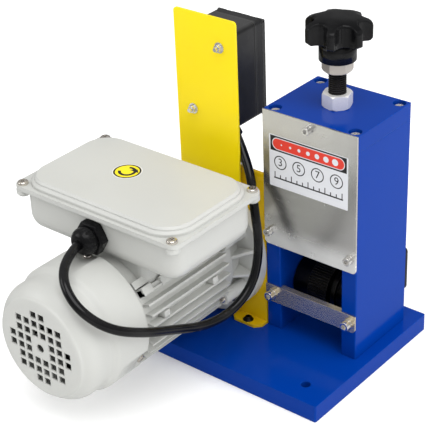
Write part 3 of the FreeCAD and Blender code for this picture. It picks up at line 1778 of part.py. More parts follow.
def make_gearbox_housing():
    x0 = motor_x - housing_half
    x1 = motor_x + housing_half
    y0 = bracket_back
    flange = rounded_block(motor_x - plate_size / 2, motor_x + plate_size / 2, y0, y0 + plate_thick,
                           motor_z - plate_size / 2, motor_z + plate_size / 2, plate_corner, Y_AXIS)
    gear_reach = gear_radius() + chamber_gap + housing_wall
    low = roller_z - gear_reach
    high = motor_z + worm_ball_outer / 2 + housing_wall
    back = column_y + gear_reach + housing_back_extra
    case = block(x0, x1, y0, back, low, high)
    case = case.makeFillet(housing_edge, edges_along(case, X_AXIS))
    body = joined([flange, case])
    chamber_radius = gear_radius() + chamber_gap
    start = y0 + plate_thick
    second_ball = column_y + worm_long / 2 + worm_ball_gap
    tools = [
        rod(chamber_radius, 2 * chamber_half, on_roller_axis(motor_x - chamber_half), X_AXIS),
        rod(ball_outer / 2, ball_wide, on_roller_axis(motor_x + chamber_half), X_AXIS),
        rod(shaft_bore / 2 + gear_shaft_room, housing_half, on_roller_axis(motor_x), X_AXIS),
        rod(chamber_radius, housing_half, on_roller_axis(x0), X_AXIS),
        rod(worm_radius + chamber_gap, second_ball - start, on_motor_axis(start), Y_AXIS),
        rod(worm_ball_outer / 2, worm_ball_wide, on_motor_axis(start), Y_AXIS),
        rod(worm_ball_outer / 2, worm_ball_wide, on_motor_axis(second_ball), Y_AXIS),
        rod(worm_end_radius + worm_room, plate_thick, on_motor_axis(y0), Y_AXIS),
        rod(spigot_radius - plate_recess_in, plate_recess, on_motor_axis(y0), Y_AXIS),
    ]
    for place in flange_bolt_places(y0):
        tools.append(plain_hole(flange_bolt, plate_thick, place, Y_AXIS))
    for place in gear_cover_screw_places(x0):
        tools.append(drilled(gear_cover_screw, gear_cover_screw_deep, place, V(-1, 0, 0)))
    tools.append(rod(oil_plug / 2, high - motor_z, V(motor_x + oil_plug_right, column_y, motor_z), Z_AXIS))
    return cut_all(body, tools)


def gear_radius():
    return centre_distance - worm_radius - passing


def make_gearbox_cover():
    x0 = motor_x - housing_half
    spigot_radius_here = gear_radius() + chamber_gap - running
    flange = rod(gear_cover_radius, gear_cover_thick, on_roller_axis(x0 - gear_cover_thick), X_AXIS)
    spigot = rod(spigot_radius_here, housing_half - chamber_half, on_roller_axis(x0), X_AXIS)
    body = joined([flange, spigot])
    pocket = rod(ball_outer / 2, ball_wide, on_roller_axis(motor_x - chamber_half - ball_wide), X_AXIS)
    tools = [pocket]
    for place in gear_cover_screw_places(x0 - gear_cover_thick):
        tools.append(plain_hole(gear_cover_screw, gear_cover_thick, place, X_AXIS))
    return cut_all(body, tools)


def make_gearbox_screws():
    x = motor_x - housing_half - gear_cover_thick
    long = gear_cover_thick + gear_cover_screw_deep - long_hole_end
    screws = [socket_screw(gear_cover_screw, long, place, V(-1, 0, 0))
              for place in gear_cover_screw_places(x)]
    high = motor_z + worm_ball_outer / 2 + housing_wall
    mouth = V(motor_x + oil_plug_right, column_y, high)
    plug = hexagon(oil_plug_flats, oil_plug_head, mouth, Z_AXIS)
    stem = rod(oil_plug / 2 - thread_gap, oil_plug_stem, mouth - Z_AXIS * oil_plug_stem, Z_AXIS)
    screws.append(joined([plug, stem]))
    return screws


def make_gearbox_bearings():
    start = bracket_back + plate_thick
    second_ball = column_y + worm_long / 2 + worm_ball_gap
    bearings = [
        ball_bearing(shaft_bore, ball_outer, ball_wide, on_roller_axis(motor_x + chamber_half), X_AXIS),
        ball_bearing(shaft_bore, ball_outer, ball_wide,
                     on_roller_axis(motor_x - chamber_half - ball_wide), X_AXIS),
        ball_bearing(2 * worm_end_radius, worm_ball_outer, worm_ball_wide, on_motor_axis(start), Y_AXIS),
        ball_bearing(2 * worm_end_radius, worm_ball_outer, worm_ball_wide,
                     on_motor_axis(second_ball), Y_AXIS),
    ]
    return bearings


def make_worm():
    start = bracket_back + worm_start_gap
    first_end = bracket_back + plate_thick + worm_ball_wide
    second_ball = column_y + worm_long / 2 + worm_ball_gap
    end = second_ball + worm_ball_wide
    core = rod(worm_core, end - start, on_motor_axis(start), Y_AXIS)
    journals = [
        rod(worm_end_radius, first_end - start, on_motor_axis(start), Y_AXIS),
        rod(worm_end_radius, worm_ball_wide, on_motor_axis(second_ball), Y_AXIS),
    ]
    threads = []
    turns = int((second_ball - worm_run_out - first_end) / worm_pitch)
    for number in range(turns):
        y = first_end + worm_run_in + number * worm_pitch
        low = cone(worm_core, worm_radius, worm_flank, on_motor_axis(y), Y_AXIS)
        middle = rod(worm_radius, worm_crest, on_motor_axis(y + worm_flank), Y_AXIS)
        high = cone(worm_radius, worm_core, worm_flank, on_motor_axis(y + worm_flank + worm_crest), Y_AXIS)
        threads.append(joined([low, middle, high]))
    body = joined([core] + journals + threads)
    bore_deep = bracket_front + shaft_end_long + worm_bore_past - start
    return body.cut(rod(shaft_end_radius, bore_deep, on_motor_axis(start), Y_AXIS))


def make_worm_wheel():
    start = on_roller_axis(motor_x - gear_wide / 2)
    body = ring(gear_radius(), shaft_bore / 2, gear_wide, start, X_AXIS)
    cuts = []
    for number in range(gear_teeth):
        angle = 360.0 * (number + 0.5) / gear_teeth
        out = V(0, math.cos(math.radians(angle)), math.sin(math.radians(angle)))
        side = V(0, -out.z, out.y) * (gear_tooth_gap / 2)
        foot = start + out * (gear_radius() - gear_tooth_deep)
        rim = start + out * (gear_radius() + gear_tooth_past)
        foot_side = side * gear_foot_share
        cuts.append(polygon_prism([foot - foot_side, rim - side, rim + side, foot + foot_side],
                                  X_AXIS * gear_wide))
    hub_start = on_roller_axis(motor_x - gear_hub_long / 2)
    hub = ring(gear_hub, shaft_bore / 2, gear_hub_long, hub_start, X_AXIS)
    return joined([body.cut(cuts), hub])


def coupling_middle():
    """Where the two shafts meet inside the coupling."""
    return column_left - coupling_from_column


def make_output_shaft():
    start = motor_x - chamber_half - ball_wide + shaft_end_gap
    end = coupling_middle() - coupling_split / 2
    return rod(shaft_bore / 2, end - start, on_roller_axis(start), X_AXIS)


def make_shaft_coupling():
    middle = coupling_middle()
    start = on_roller_axis(middle - coupling_long / 2)
    body = ring(coupling_radius, shaft_bore / 2, coupling_long, start, X_AXIS)
    rims = [e for e in body.Edges if isinstance(e.Curve, Part.Circle) and e.Curve.Radius > coupling_radius - 1]
    body = body.makeChamfer(coupling_edge, rims)
    tools = []
    for side in (-1, 1):
        mouth = V(middle + side * coupling_long / 4, column_y, roller_z + coupling_radius)
        tools.append(drilled(coupling_screw, coupling_radius - shaft_bore / 4, mouth, Z_AXIS))
    return cut_all(body, tools)


def make_coupling_screws():
    middle = coupling_middle()
    pieces = []
    for side in (-1, 1):
        foot = V(middle + side * coupling_long / 4, column_y, roller_z + shaft_bore / 2 + thread_gap)
        long = coupling_radius - shaft_bore / 2 - coupling_screw_sunk
        stem = rod(coupling_screw / 2 - thread_gap, long, foot, Z_AXIS)
        top = foot + Z_AXIS * (long - coupling_hex_deep)
        pieces.append(stem.cut(hexagon(coupling_hex, coupling_hex_deep, top, Z_AXIS)))
    return pieces


# Cords

def lead_end():
    """End of the motor lead, where the slanted boot takes it over."""
    return motor_lead_route()[-1]


def lead_way():
    points = motor_lead_route()
    way = points[-1] - points[-2]
    way.normalize()
    return way


def lead_entry():
    """Where the middle of the boot reaches the underside of the switch."""
    end = lead_end()
    way = lead_way()
    return end + way * ((switch_under - end.z) / way.z)


def mains_entry():
    return V(switch_right - mains_from_side, switch_back + mains_from_back, switch_under)


def motor_lead_route():
    """Hand-chosen points of the lead between the motor and the switch."""
    return [
        gland_nose(),
        V(-50.8, -202.3, 162.5),
        V(-34.5, -224.0, 155.2),
        V(-11.8, -230.3, 140.1),
        V(9.1, -217.4, 122.0),
        V(16.8, -184.6, 104.0),
        V(16.0, -148.0, 87.0),
        V(19.0, -109.8, 70.5),
        V(23.0, -76.0, 69.0),
        V(25.0, -48.0, 86.0),
        V(21.0, -34.0, 117.7),
        V(14.1, -29.0, 154.0),
        V(4.0, -16.3, 185.7),
        V(-23.9, -4.1, 204.6),
    ]


def arc_from(start, direction, end):
    """Arc that leaves the start in a direction and reaches the end, or a line if they agree."""
    chord = end - start
    length = chord.Length
    unit = V(chord) * (1 / length)
    bend = direction - unit * direction.dot(unit)
    if bend.Length < 1e-7:
        return Part.LineSegment(start, end).toShape()
    bend.normalize()
    half_turn = math.acos(max(-1.0, min(1.0, direction.dot(unit))))
    middle = (start + end) * 0.5 + bend * (length / 2 * math.tan(half_turn / 2))
    return Part.Arc(start, middle, end).toShape()


def route_edges(points, name):
    """Straight runs joined by tangent arcs, each as large as its two runs allow."""
    share = 0.45
    edges = []
    last = points[0]
    radii = []
    for number in range(1, len(points) - 1):
        before = points[number] - points[number - 1]
        after = points[number + 1] - points[number]
        reach = share * min(before.Length, after.Length)
        half_turn = before.getAngle(after) / 2
        radii.append(reach / math.tan(half_turn))
        before.normalize()
        after.normalize()
        arc_start = points[number] - before * reach
        arc_end = points[number] + after * reach
        edges.append(Part.LineSegment(last, arc_start).toShape())
        edges.append(arc_from(arc_start, before, arc_end))
        last = arc_end
    edges.append(Part.LineSegment(last, points[-1]).toShape())
    print(name, "bend radii", [round(r, 1) for r in radii])
    return edges


def swept(edges, diameter, name):
    path = Part.Wire(edges)
    start = edges[0].valueAt(edges[0].FirstParameter)
    direction = edges[0].tangentAt(edges[0].FirstParameter)
    section = Part.Wire(Part.makeCircle(diameter / 2, start, direction))
    tube = path.makePipeShell([section], True, False)
    expected = math.pi * diameter ** 2 / 4 * path.Length
    print(name, "length %.1f, volume over section times length %.4f" % (path.Length, tube.Volume / expected))
    return tube


def make_mains_lead():
    return swept(route_edges(mains_route(), "mains_lead"), mains_diameter, "mains_lead")


def make_motor_lead():
    return swept(route_edges(motor_lead_route(), "motor_lead"), motor_lead_diameter, "motor_lead")


def mains_route():
    """Hand-chosen points of the mains lead, from the switch down to the coil."""
    entry = mains_entry()
    points = [V(entry.x, entry.y, entry.z - relief_long)]
    points += [
        V(-45.5, 17.0, 170.0),
        V(-40.0, 27.0, 150.0),
        V(-38.0, 50.0, 134.0),
        V(-47.0, 77.0, 114.0),
        V(-59.0, 98.0, 91.0),
        V(-71.0, 116.0, 65.0),
        V(-85.0, 139.0, 37.5),
        V(-95.0, 165.0, 16.5),
    ]
    points.append(coil_lead_in())
    return points


def coil_lead_in():
    """Outer end of the straight piece that leads into the coil."""
    return coil_point(0) - coil_tangent(0) * mains_diameter


def coil_lead_out():
    last = coil_end_turn()
    return coil_point(last) + coil_tangent(last) * mains_diameter


def coil_end_turn():
    return 2 * coil_turns + 0.5


def coil_point(turn):
    """Centre line of the coil: in along the upper layer, down half a turn, out on the floor."""
    inner = coil_outer - coil_step * coil_turns
    if turn <= coil_turns:
        radius = coil_outer - coil_step * turn
        level = 1.0
    elif turn <= coil_turns + 0.5:
        share = (turn - coil_turns) / 0.5
        radius = inner - coil_step * 0.5 * share * (1 - share)
        level = 1 - share * share * (3 - 2 * share)
    else:
        radius = coil_outer - coil_step * (coil_end_turn() - turn)
        level = 0.0
    angle = math.pi - 2 * math.pi * turn
    z = mains_diameter / 2 + coil_layer_step * level
    return V(coil_x + radius * math.cos(angle), coil_y + radius * math.sin(angle), z)


def coil_tangent(turn):
    step = 1e-4
    low = max(0.0, turn - step)
    high = min(coil_end_turn(), turn + step)
    direction = coil_point(high) - coil_point(low)
    direction.normalize()
    return direction


def biarc(start, start_way, end, end_way):
    """Two arcs with a common tangent between two points with given directions."""
    gap = end - start
    ways = start_way + end_way
    spread = 2 * (1 - start_way.dot(end_way))
    along = gap.dot(ways)
    reach = (-along + math.sqrt(along * along + spread * gap.dot(gap))) / spread
    middle = (start + end + (start_way - end_way) * reach) * 0.5
    first = arc_from(start, start_way, middle)
    middle_way = first.tangentAt(first.LastParameter)
    if middle_way.dot(middle - start) < 0:
        middle_way = middle_way * -1
    return [first, arc_from(middle, middle_way, end)]


def make_mains_coil():
    edges = [Part.LineSegment(coil_lead_in(), coil_point(0)).toShape()]
    quarters = int(round(coil_end_turn() * 4))
    for number in range(quarters):
        a = number / 4
        b = (number + 1) / 4
        edges += biarc(coil_point(a), coil_tangent(a), coil_point(b), coil_tangent(b))
    edges.append(Part.LineSegment(coil_point(coil_end_turn()), coil_lead_out()).toShape())
    report_least_gap()
    return swept(edges, mains_diameter, "mains_coil")


def report_least_gap():
    """Least distance between the surfaces of different turns, on points of the centre line."""
    steps = 60
    points = [coil_point(n / steps) for n in range(int(coil_end_turn() * steps) + 1)]
    least = min((points[a] - points[b]).Length
                for a in range(len(points)) for b in range(a + steps // 2, len(points)))
    print("mains_coil least gap %.2f" % (least - mains_diameter))


def tail_route():
    """Hand-chosen points of the short stretch between the coil and the plug."""
    z = mains_diameter / 2
    end = coil_lead_out()
    return [
        V(end.x, end.y, end.z),
        V(end.x + 0.5, end.y - 23.0, z),
        V(3.5, 146.0, z),
        V(-17.0, 125.0, plug_high / 2 - 1.0),
        V(-46.0, 121.0, plug_high / 2),
    ]


def make_mains_tail():
    return swept(route_edges(tail_route(), "mains_tail"), mains_diameter, "mains_tail")


def make_mains_relief():
    """Tapered sleeve under the switch, with ring grooves."""
    entry = mains_entry()
    down = V(0, 0, -1)
    body = cone(relief_radius, mains_diameter / 2 + relief_wall, relief_long, entry, down)
    rim = rod(relief_radius - relief_step - running, switch_wall + relief_rim_past, entry, Z_AXIS)
    cuts = []
    for number in range(relief_grooves):
        z = entry.z - relief_pitch * (number + 1)
        cuts.append(ring(relief_radius + relief_groove_past, mains_diameter / 2 + relief_groove_wall,
                         relief_groove_wide, V(entry.x, entry.y, z), Z_AXIS))
    return joined([body.cut(cuts), rim])


def make_lead_boot():
    """Slanted boot where the motor lead goes into the switch."""
    end = lead_end()
    entry = lead_entry()
    way = lead_way()
    body = rod(lead_boot_radius, 3 * (entry - end).Length, end, way)
    above = block(entry.x - boot_trim, entry.x + boot_trim, entry.y - boot_trim, entry.y + boot_trim,
                  switch_under, switch_under + boot_trim)
    rim = rod(lead_boot_radius - relief_step - running, switch_wall + relief_rim_past, entry, Z_AXIS)
    return joined([body.cut(above), rim])


def make_mains_plug():
    points = tail_route()
    start = points[-1]
    way = points[-1] - points[-2]
    way.z = 0
    way.normalize()
    side = V(-way.y, way.x, 0)
    neck = cone(mains_diameter / 2 + plug_neck_wall, plug_neck_radius, plug_neck_long, start, way)
    body_start = start + way * plug_neck_long
    corner = body_start - side * (plug_wide / 2) - Z_AXIS * (plug_high / 2)
    face = [corner, corner + side * plug_wide, corner + side * plug_wide + Z_AXIS * plug_high,
            corner + Z_AXIS * plug_high]
    body = polygon_prism(face, way * plug_long)
    body = body.makeFillet(plug_corner, edges_along(body, way))
    pieces = [neck, body]
    across = side * plug_blade_thick
    up = Z_AXIS * plug_blade_wide
    for hand in (-0.5, 0.5):
        middle = body_start + way * plug_long + side * (hand * plug_blade_pitch)
        foot = middle - across * 0.5 - up * 0.5
        blade = [foot, foot + across, foot + across + up, foot + up]
        pieces.append(polygon_prism(blade, way * plug_blade_long))
    return joined(pieces)


# Writing the files

def save(name, made):
    solids = made if isinstance(made, list) else [made]
    shape = solids[0] if len(solids) == 1 else Part.makeCompound(solids)
    count = len(shape.Solids)
    if not shape.isValid() or count != len(solids):
        print("CHECK", name, "valid", shape.isValid(), "solids", count, "wanted", len(solids))
    shape.exportStep(os.path.join("parts", name + ".step"))


def main():
    os.makedirs("parts", exist_ok=True)
    save("base_plate", make_base_plate())
    save("left_side_plate", make_side_plate(column_left))
    save("right_side_plate", make_side_plate(inner_right))
    save("top_plate", make_top_plate())
    save("column_screws", make_base_screws() + make_top_screws())
    save("guard_plate", make_guard_plate())
    save("exit_ledge", make_exit_ledge())
    save("infeed_plate", make_infeed_plate())
    save("plate_screws", make_guard_screws() + make_ledge_screws() + make_infeed_screws())
    save("spring_washers", make_spring_washers())
    save("ball_bearings", make_roller_bearings() + make_gearbox_bearings() + make_motor_bearings())
    save("roller_shafts", [make_roller_shaft(), make_wheel_key(), make_output_shaft()])
    save("feed_wheel", make_feed_wheel())
    save("roller_spacers", [make_left_collar(), make_right_spacer()])
    save("shaft_coupling", [make_shaft_coupling()] + make_coupling_screws())
    save("guide_rods", make_guide_rods())
    save("blade_carriage", make_blade_carriage())
    save("guide_bushes", make_guide_bushes())
    save("screw_retainer", [make_screw_retainer()] + make_retainer_screws())
    save("blade_axle", [make_blade_axle(), make_axle_nut()])
    save("blade_hub", make_blade_hub())
    save("blade_disc", make_blade_disc())
    save("height_screw", make_height_screw())
    save("jam_nut", make_jam_nut())
    save("star_knob", make_star_knob())
    save("lock_nut", make_lock_nut())
    save("motor_frame", make_motor_frame())
    save("drive_end_shield", make_drive_shield())
    save("rear_end_shield", make_rear_shield())
    save("stator_core", make_stator_core())
    save("stator_windings", make_stator_windings())
    save("rotor_core", make_rotor_core())
    save("motor_shaft", make_motor_shaft())
    save("cooling_fan", make_cooling_fan())
    save("fan_cover", make_fan_cover())
    save("motor_screws", make_shield_screws() + make_fan_cover_screws() + make_lid_screws())
    save("terminal_box", make_terminal_box())
    save("terminal_lid", make_terminal_lid())
    save("capacitor", [make_capacitor(), make_terminal_block()])
    save("cable_gland", [make_cable_gland(), make_gland_nut()])
    save("gearbox_housing", make_gearbox_housing())
    save("gearbox_cover", make_gearbox_cover())
    save("worm", make_worm())
    save("worm_wheel", make_worm_wheel())
    save("motor_bracket", make_motor_bracket())
    save("drive_screws", make_bracket_screws() + make_gearbox_screws())
    save("flange_bolts", make_flange_bolts() + make_flange_nuts())
    save("switch_plate", make_switch_plate())
    save("switch_hardware", make_plate_spacers() + make_switch_screws())
    save("switch_box", [make_switch_box(), make_contact_block()])
    save("switch_cover", [make_switch_cover(), make_flap_pin()])
    save("switch_flap", make_switch_flap())
    save("start_button", make_button(True))
    save("stop_button", make_button(False))
    save("motor_lead", make_motor_lead())
    save("mains_lead", make_mains_lead())
    save("mains_coil", make_mains_coil())
    save("mains_tail", make_mains_tail())
    save("strain_reliefs", [make_mains_relief(), make_lead_boot()])
    save("mains_plug", make_mains_plug())


main()
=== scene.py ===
# %% [markdown]
# # Wire stripping machine: dressing the frame
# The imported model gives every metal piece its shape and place. This file adds what a picture
# needs: the camera, the light, the cords, the finishes, and the few pieces whose form is finer
# than a plain solid, such as the star knob and the threaded screw.

# %% Load the frame
import bpy
import json
import math
from mathutils import Matrix, Vector


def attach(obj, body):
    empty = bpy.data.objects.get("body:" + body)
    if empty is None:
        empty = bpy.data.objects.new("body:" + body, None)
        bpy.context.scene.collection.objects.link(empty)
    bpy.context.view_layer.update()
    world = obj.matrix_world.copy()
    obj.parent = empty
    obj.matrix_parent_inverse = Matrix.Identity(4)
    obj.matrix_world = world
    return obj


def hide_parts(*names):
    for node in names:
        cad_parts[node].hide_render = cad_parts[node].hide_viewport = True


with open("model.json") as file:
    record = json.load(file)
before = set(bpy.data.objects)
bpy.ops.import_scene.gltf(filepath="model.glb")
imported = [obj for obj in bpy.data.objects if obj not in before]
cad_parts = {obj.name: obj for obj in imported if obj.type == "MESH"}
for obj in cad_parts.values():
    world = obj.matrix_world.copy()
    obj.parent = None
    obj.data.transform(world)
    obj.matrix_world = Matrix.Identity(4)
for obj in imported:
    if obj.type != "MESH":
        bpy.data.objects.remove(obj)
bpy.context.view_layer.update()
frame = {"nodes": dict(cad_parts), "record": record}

scene = bpy.context.scene

# %% [markdown]
# ## Camera
# The photograph looks down on the machine from its front right corner. Its place was worked out
# from straight edges of the base and the column, so it is kept as three angles and a point. A
# long lens keeps those edges nearly parallel.

# %% Camera
camera_azimuth = math.radians(40.286)
camera_elevation = math.radians(29.743)
camera_roll = math.radians(-2.420)
camera_point = Vector((0.69666, -0.88867, 0.77344))

lens = bpy.data.cameras.new("view")
lens.sensor_width = 36.0
lens.lens = 117.76
lens.clip_start = 0.05
lens.clip_end = 30.0
camera = bpy.data.objects.new("view", lens)
camera.matrix_world = (
    Matrix.Translation(camera_point)
    @ Matrix.Rotation(camera_azimuth, 4, "Z")
    @ Matrix.Rotation(math.pi / 2 - camera_elevation, 4, "X")
    @ Matrix.Rotation(camera_roll, 4, "Z")
)
scene.collection.objects.link(camera)
scene.camera = camera
print("camera at", [round(c, 3) for c in camera_point])

# %% [markdown]
# ## Node trees as sentences
# A finish is a small calculation: a colour, plus some cloudiness, less some wear. `Wire` wraps
# one output of a node, so that `1 - mask * 0.5` adds the Math nodes by itself. Every other node
# comes from `Tree.add`, which takes its type, its settings and its sockets.

# %% Wires and trees
class Wire:
    """One output of a node; arithmetic on it adds Math nodes."""

    def __init__(self, tree, socket):
        self.tree = tree
        self.socket = socket

    def math(self, operation, *values):
        return self.tree.add("ShaderNodeMath", {"operation": operation}, dict(enumerate(values)))

    def __add__(self, other):
        return self.math("ADD", self, other)

    def __radd__(self, other):
        return self.math("ADD", other, self)

    def __sub__(self, other):
        return self.math("SUBTRACT", self, other)

    def __rsub__(self, other):
        return self.math("SUBTRACT", other, self)

    def __mul__(self, other):
        return self.math("MULTIPLY", self, other)

    def __rmul__(self, other):
        return self.math("MULTIPLY", other, self)

    def __truediv__(self, other):
        return self.math("DIVIDE", self, other)

    def __rtruediv__(self, other):
        return self.math("DIVIDE", other, self)

    def __pow__(self, other):
        return self.math("POWER", self, other)

    def __abs__(self):
        return self.math("ABSOLUTE", self)

    def least(self, other):
        return self.math("MINIMUM", self, other)

    def most(self, other):
        return self.math("MAXIMUM", self, other)

    def cosine(self):
        return self.math("COSINE", self)

    def sine(self):
        return self.math("SINE", self)

    def fraction(self):
        return self.math("FRACT", self)

    def root(self):
        return self.math("SQRT", self.most(0.0))

    def between(self, way, low, high, start, end):
        return self.tree.add("ShaderNodeMapRange", {"interpolation_type": way},
                             {"Value": self, "From Min": low, "From Max": high,
                              "To Min": start, "To Max": end})

    def ramp(self, low, high, start=0.0, end=1.0):
        """Goes straight from start to end as this wire goes from low to high."""
        return self.between("LINEAR", low, high, start, end)

    def eased(self, low, high, start=0.0, end=1.0):
        """Goes smoothly from start to end as this wire goes from low to high."""
        return self.between("SMOOTHSTEP", low, high, start, end)


class Tree:
    """A node tree that is written by Python expressions."""

    def __init__(self, tree):
        self.tree = tree

    def add(self, kind, settings=None, sockets=None, out=0):
        node = self.tree.nodes.new(kind)
        for name, value in (settings or {}).items():
            if name == "points":
                curve = node.mapping.curves[0]
                for _ in range(len(value) - len(curve.points)):
                    curve.points.new(0.5, 0.5)
                for point, place in zip(curve.points, value):
                    point.location = place
                    point.handle_type = "VECTOR"
                node.mapping.update()
            else:
                setattr(node, name, value)
        for name, value in (sockets or {}).items():
            if isinstance(value, Wire):
                self.tree.links.new(value.socket, node.inputs[name])
            else:
                node.inputs[name].default_value = value
        return Wire(self, node.outputs[out]) if len(node.outputs) else None


# %% [markdown]
# ## Finishes
# `Finish` adds the words that all finishes share: where a point is on the object, cloudy noise,
# a mix of two colours, a bump, and a mask that finds sharp edges. Paint, plating and moulded
# plastic are then a few lines each.

# %% What all finishes share
class Finish(Tree):
    def __init__(self, name):
        self.material = bpy.data.materials.new(name)
        self.material.use_nodes = True
        super().__init__(self.material.node_tree)
        self.tree.nodes.clear()

    def place(self, scale=(1.0, 1.0, 1.0)):
        """Where a point is on the object, stretched by a scale."""
        at = self.add("ShaderNodeTexCoord", out="Object")
        return self.add("ShaderNodeMapping", {}, {"Vector": at, "Scale": scale})

    def part(self, letter):
        """One of the three coordinates, in metres."""
        at = self.add("ShaderNodeTexCoord", out="Object")
        return self.add("ShaderNodeSeparateXYZ", {}, {0: at}, out="XYZ".index(letter))

    def noise(self, size, scale=(1.0, 1.0, 1.0), detail=3.0, roughness=0.5):
        """Cloudy noise whose clouds are about `size` metres across."""
        return self.add("ShaderNodeTexNoise", {},
                        {"Vector": self.place(scale), "Scale": 1.0 / size, "Detail": detail,
                         "Roughness": roughness})

    def mix(self, share, first, second):
        """Goes from the first colour to the second as the share goes from 0 to 1."""
        wired = {0: share}
        for number, colour in ((6, first), (7, second)):
            wired[number] = colour if isinstance(colour, Wire) else (*colour, 1.0)
        return self.add("ShaderNodeMix", {"data_type": "RGBA"}, wired, out=2)

    def bump(self, height, depth, normal=None, strength=1.0):
        wired = {"Height": height, "Distance": depth, "Strength": strength}
        if normal is not None:
            wired["Normal"] = normal
        return self.add("ShaderNodeBump", {}, wired)

    def rounded(self, radius):
        """A normal that runs round sharp edges, as if they were rounded."""
        return self.add("ShaderNodeBevel", {"samples": 4}, {"Radius": radius})

    def edges(self, radius, low=0.02, high=0.16):
        """1 on sharp edges and 0 on flat ground."""
        true = self.add("ShaderNodeNewGeometry", out="Normal")
        dot = self.add("ShaderNodeVectorMath", {"operation": "DOT_PRODUCT"},
                       {0: self.rounded(radius), 1: true}, out="Value")
        return (1 - dot).eased(low, high)

    def surface(self, colour, roughness, metallic=0.0, normal=None, **more):
        wired = {"Base Color": colour if isinstance(colour, Wire) else (*colour, 1.0),
                 "Roughness": roughness, "Metallic": metallic}
        for name, value in more.items():
            wired[name.replace("_", " ")] = value
        if normal is not None:
            wired["Normal"] = normal
        shader = self.add("ShaderNodeBsdfPrincipled", {}, wired)
        self.add("ShaderNodeOutputMaterial", {}, {"Surface": shader})
        return self.material


# %% [markdown]
# ## Gloss paint
# The plates are sprayed: the paint flows to a faint orange peel, thins on sharp edges, and
# carries a little dust in its gloss. The sharp edges are lighter in patches, partly for the thin
# paint and partly as a painted highlight. One function does all four paints, so only the colour,
# the gloss and the softness of the edges differ.

# %% Paints
def paint(name, colour, thin_paint_and_highlight_colour, gloss, peel, edge_radius, specular, lighter_edge_share=0.5):
    """Sprayed paint; `gloss` is its roughness, and the last argument how much of an edge shows the lighter
    edge colour, partly thinner paint and partly a painted highlight.
    """
    f = Finish(name)
    cloud = f.noise(0.09, detail=4.0)
    tone = f.mix(cloud.eased(0.3, 0.75, 0.0, 0.22), colour, [c * 0.82 for c in colour])
    # Sharp edges turn lighter in patches: partly thinner paint, partly a painted highlight.
    edge_tint_mask = f.edges(edge_radius) * f.noise(0.006, detail=5.0).eased(0.35, 0.7, 0.25, 1.0)
    tone = f.mix(edge_tint_mask * lighter_edge_share, tone, thin_paint_and_highlight_colour)
    smear = f.noise(0.02, scale=(1.0, 0.35, 1.0), detail=6.0, roughness=0.62)
    rough = gloss + smear.eased(0.45, 0.8, 0.0, 0.09)
    normal = f.bump(f.noise(0.0022, detail=2.0), peel, f.rounded(edge_radius), 0.6)
    return f.surface(tone, rough, 0.0, normal, Specular_IOR_Level=specular)


blue_paint = paint("blue_paint", (0.0004, 0.037, 0.29), (0.010, 0.10, 0.50), gloss=0.14, peel=0.00002,
                   edge_radius=0.0012, specular=0.10)
yellow_paint = paint("yellow_paint", (1.0, 0.77, 0.003), (1.0, 0.86, 0.16), gloss=0.20, peel=0.00002,
                     edge_radius=0.0009, specular=0.28)
# A darker, more orange copy of the yellow paint for the motor bracket: painted shade.
ochre_paint = paint("ochre_paint", (0.72, 0.46, 0.004), (0.85, 0.62, 0.10), gloss=0.22, peel=0.00002,
                    edge_radius=0.0009, specular=0.28)
grey_paint = paint("grey_paint", (0.53, 0.535, 0.51), (0.66, 0.67, 0.65), gloss=0.36, peel=0.00006,
                   edge_radius=0.0011, specular=0.40, lighter_edge_share=0.35)
print("paints:", blue_paint.name, yellow_paint.name, ochre_paint.name, grey_paint.name)

# %% [markdown]
# ## Metals
# Sheet steel is brushed one way, and plated screws are bright with dull spots. The brushing is
# noise stretched along one direction. Yellow zinc shimmers between straw and pink, so its colour
# drifts with a slow cloud. Nickel on a cheap nut is dull, so a share of it is left unmetallic: it
# then shows the light of the room and not only what it mirrors.

# %% Metals
def metal(name, colour, second, rough, grain=(1.0, 1.0, 1.0), grain_size=0.0015, grain_deep=0.000003,
          edge_radius=0.0005, worn=(0.8, 0.79, 0.76), worn_share=0.35, spots=0.05, metallic=1.0,
          reflection_heights=None):
    """Plated or bare metal; a paler, less metallic zone low down, a painted reflection, fades out between
    the two given heights.
    """
    f = Finish(name)
    lines = f.noise(grain_size, scale=grain, detail=4.0, roughness=0.6)
    cloud = f.noise(0.03, detail=4.0)
    tone = f.mix(cloud.eased(0.35, 0.7), colour, second)
    tone = f.mix(lines.eased(0.3, 0.7, 0.0, 0.12), tone, [c * 0.7 for c in colour])
    edge_tint_mask = f.edges(edge_radius) * worn_share
    tone = f.mix(edge_tint_mask, tone, worn)
    dull = f.noise(0.012, detail=3.0).eased(0.5, 0.72, 0.0, spots)
    normal = f.bump(lines, grain_deep, f.rounded(edge_radius), 0.7)
    if reflection_heights is not None:
        # A paler, less metallic zone low down: a painted reflection.
        painted_reflection_zone = f.part("Z").eased(*reflection_heights, 1.0, 0.0)
        tone = f.mix(painted_reflection_zone, tone, (0.88, 0.88, 0.86))
        metallic = metallic - painted_reflection_zone * 0.42
    return f.surface(tone, rough + dull + lines * 0.06, metallic, normal)


stainless = metal("stainless", (0.72, 0.71, 0.69), (0.76, 0.75, 0.725), 0.20,
                  grain=(0.02, 1.0, 1.0), grain_size=0.0006, metallic=0.94)
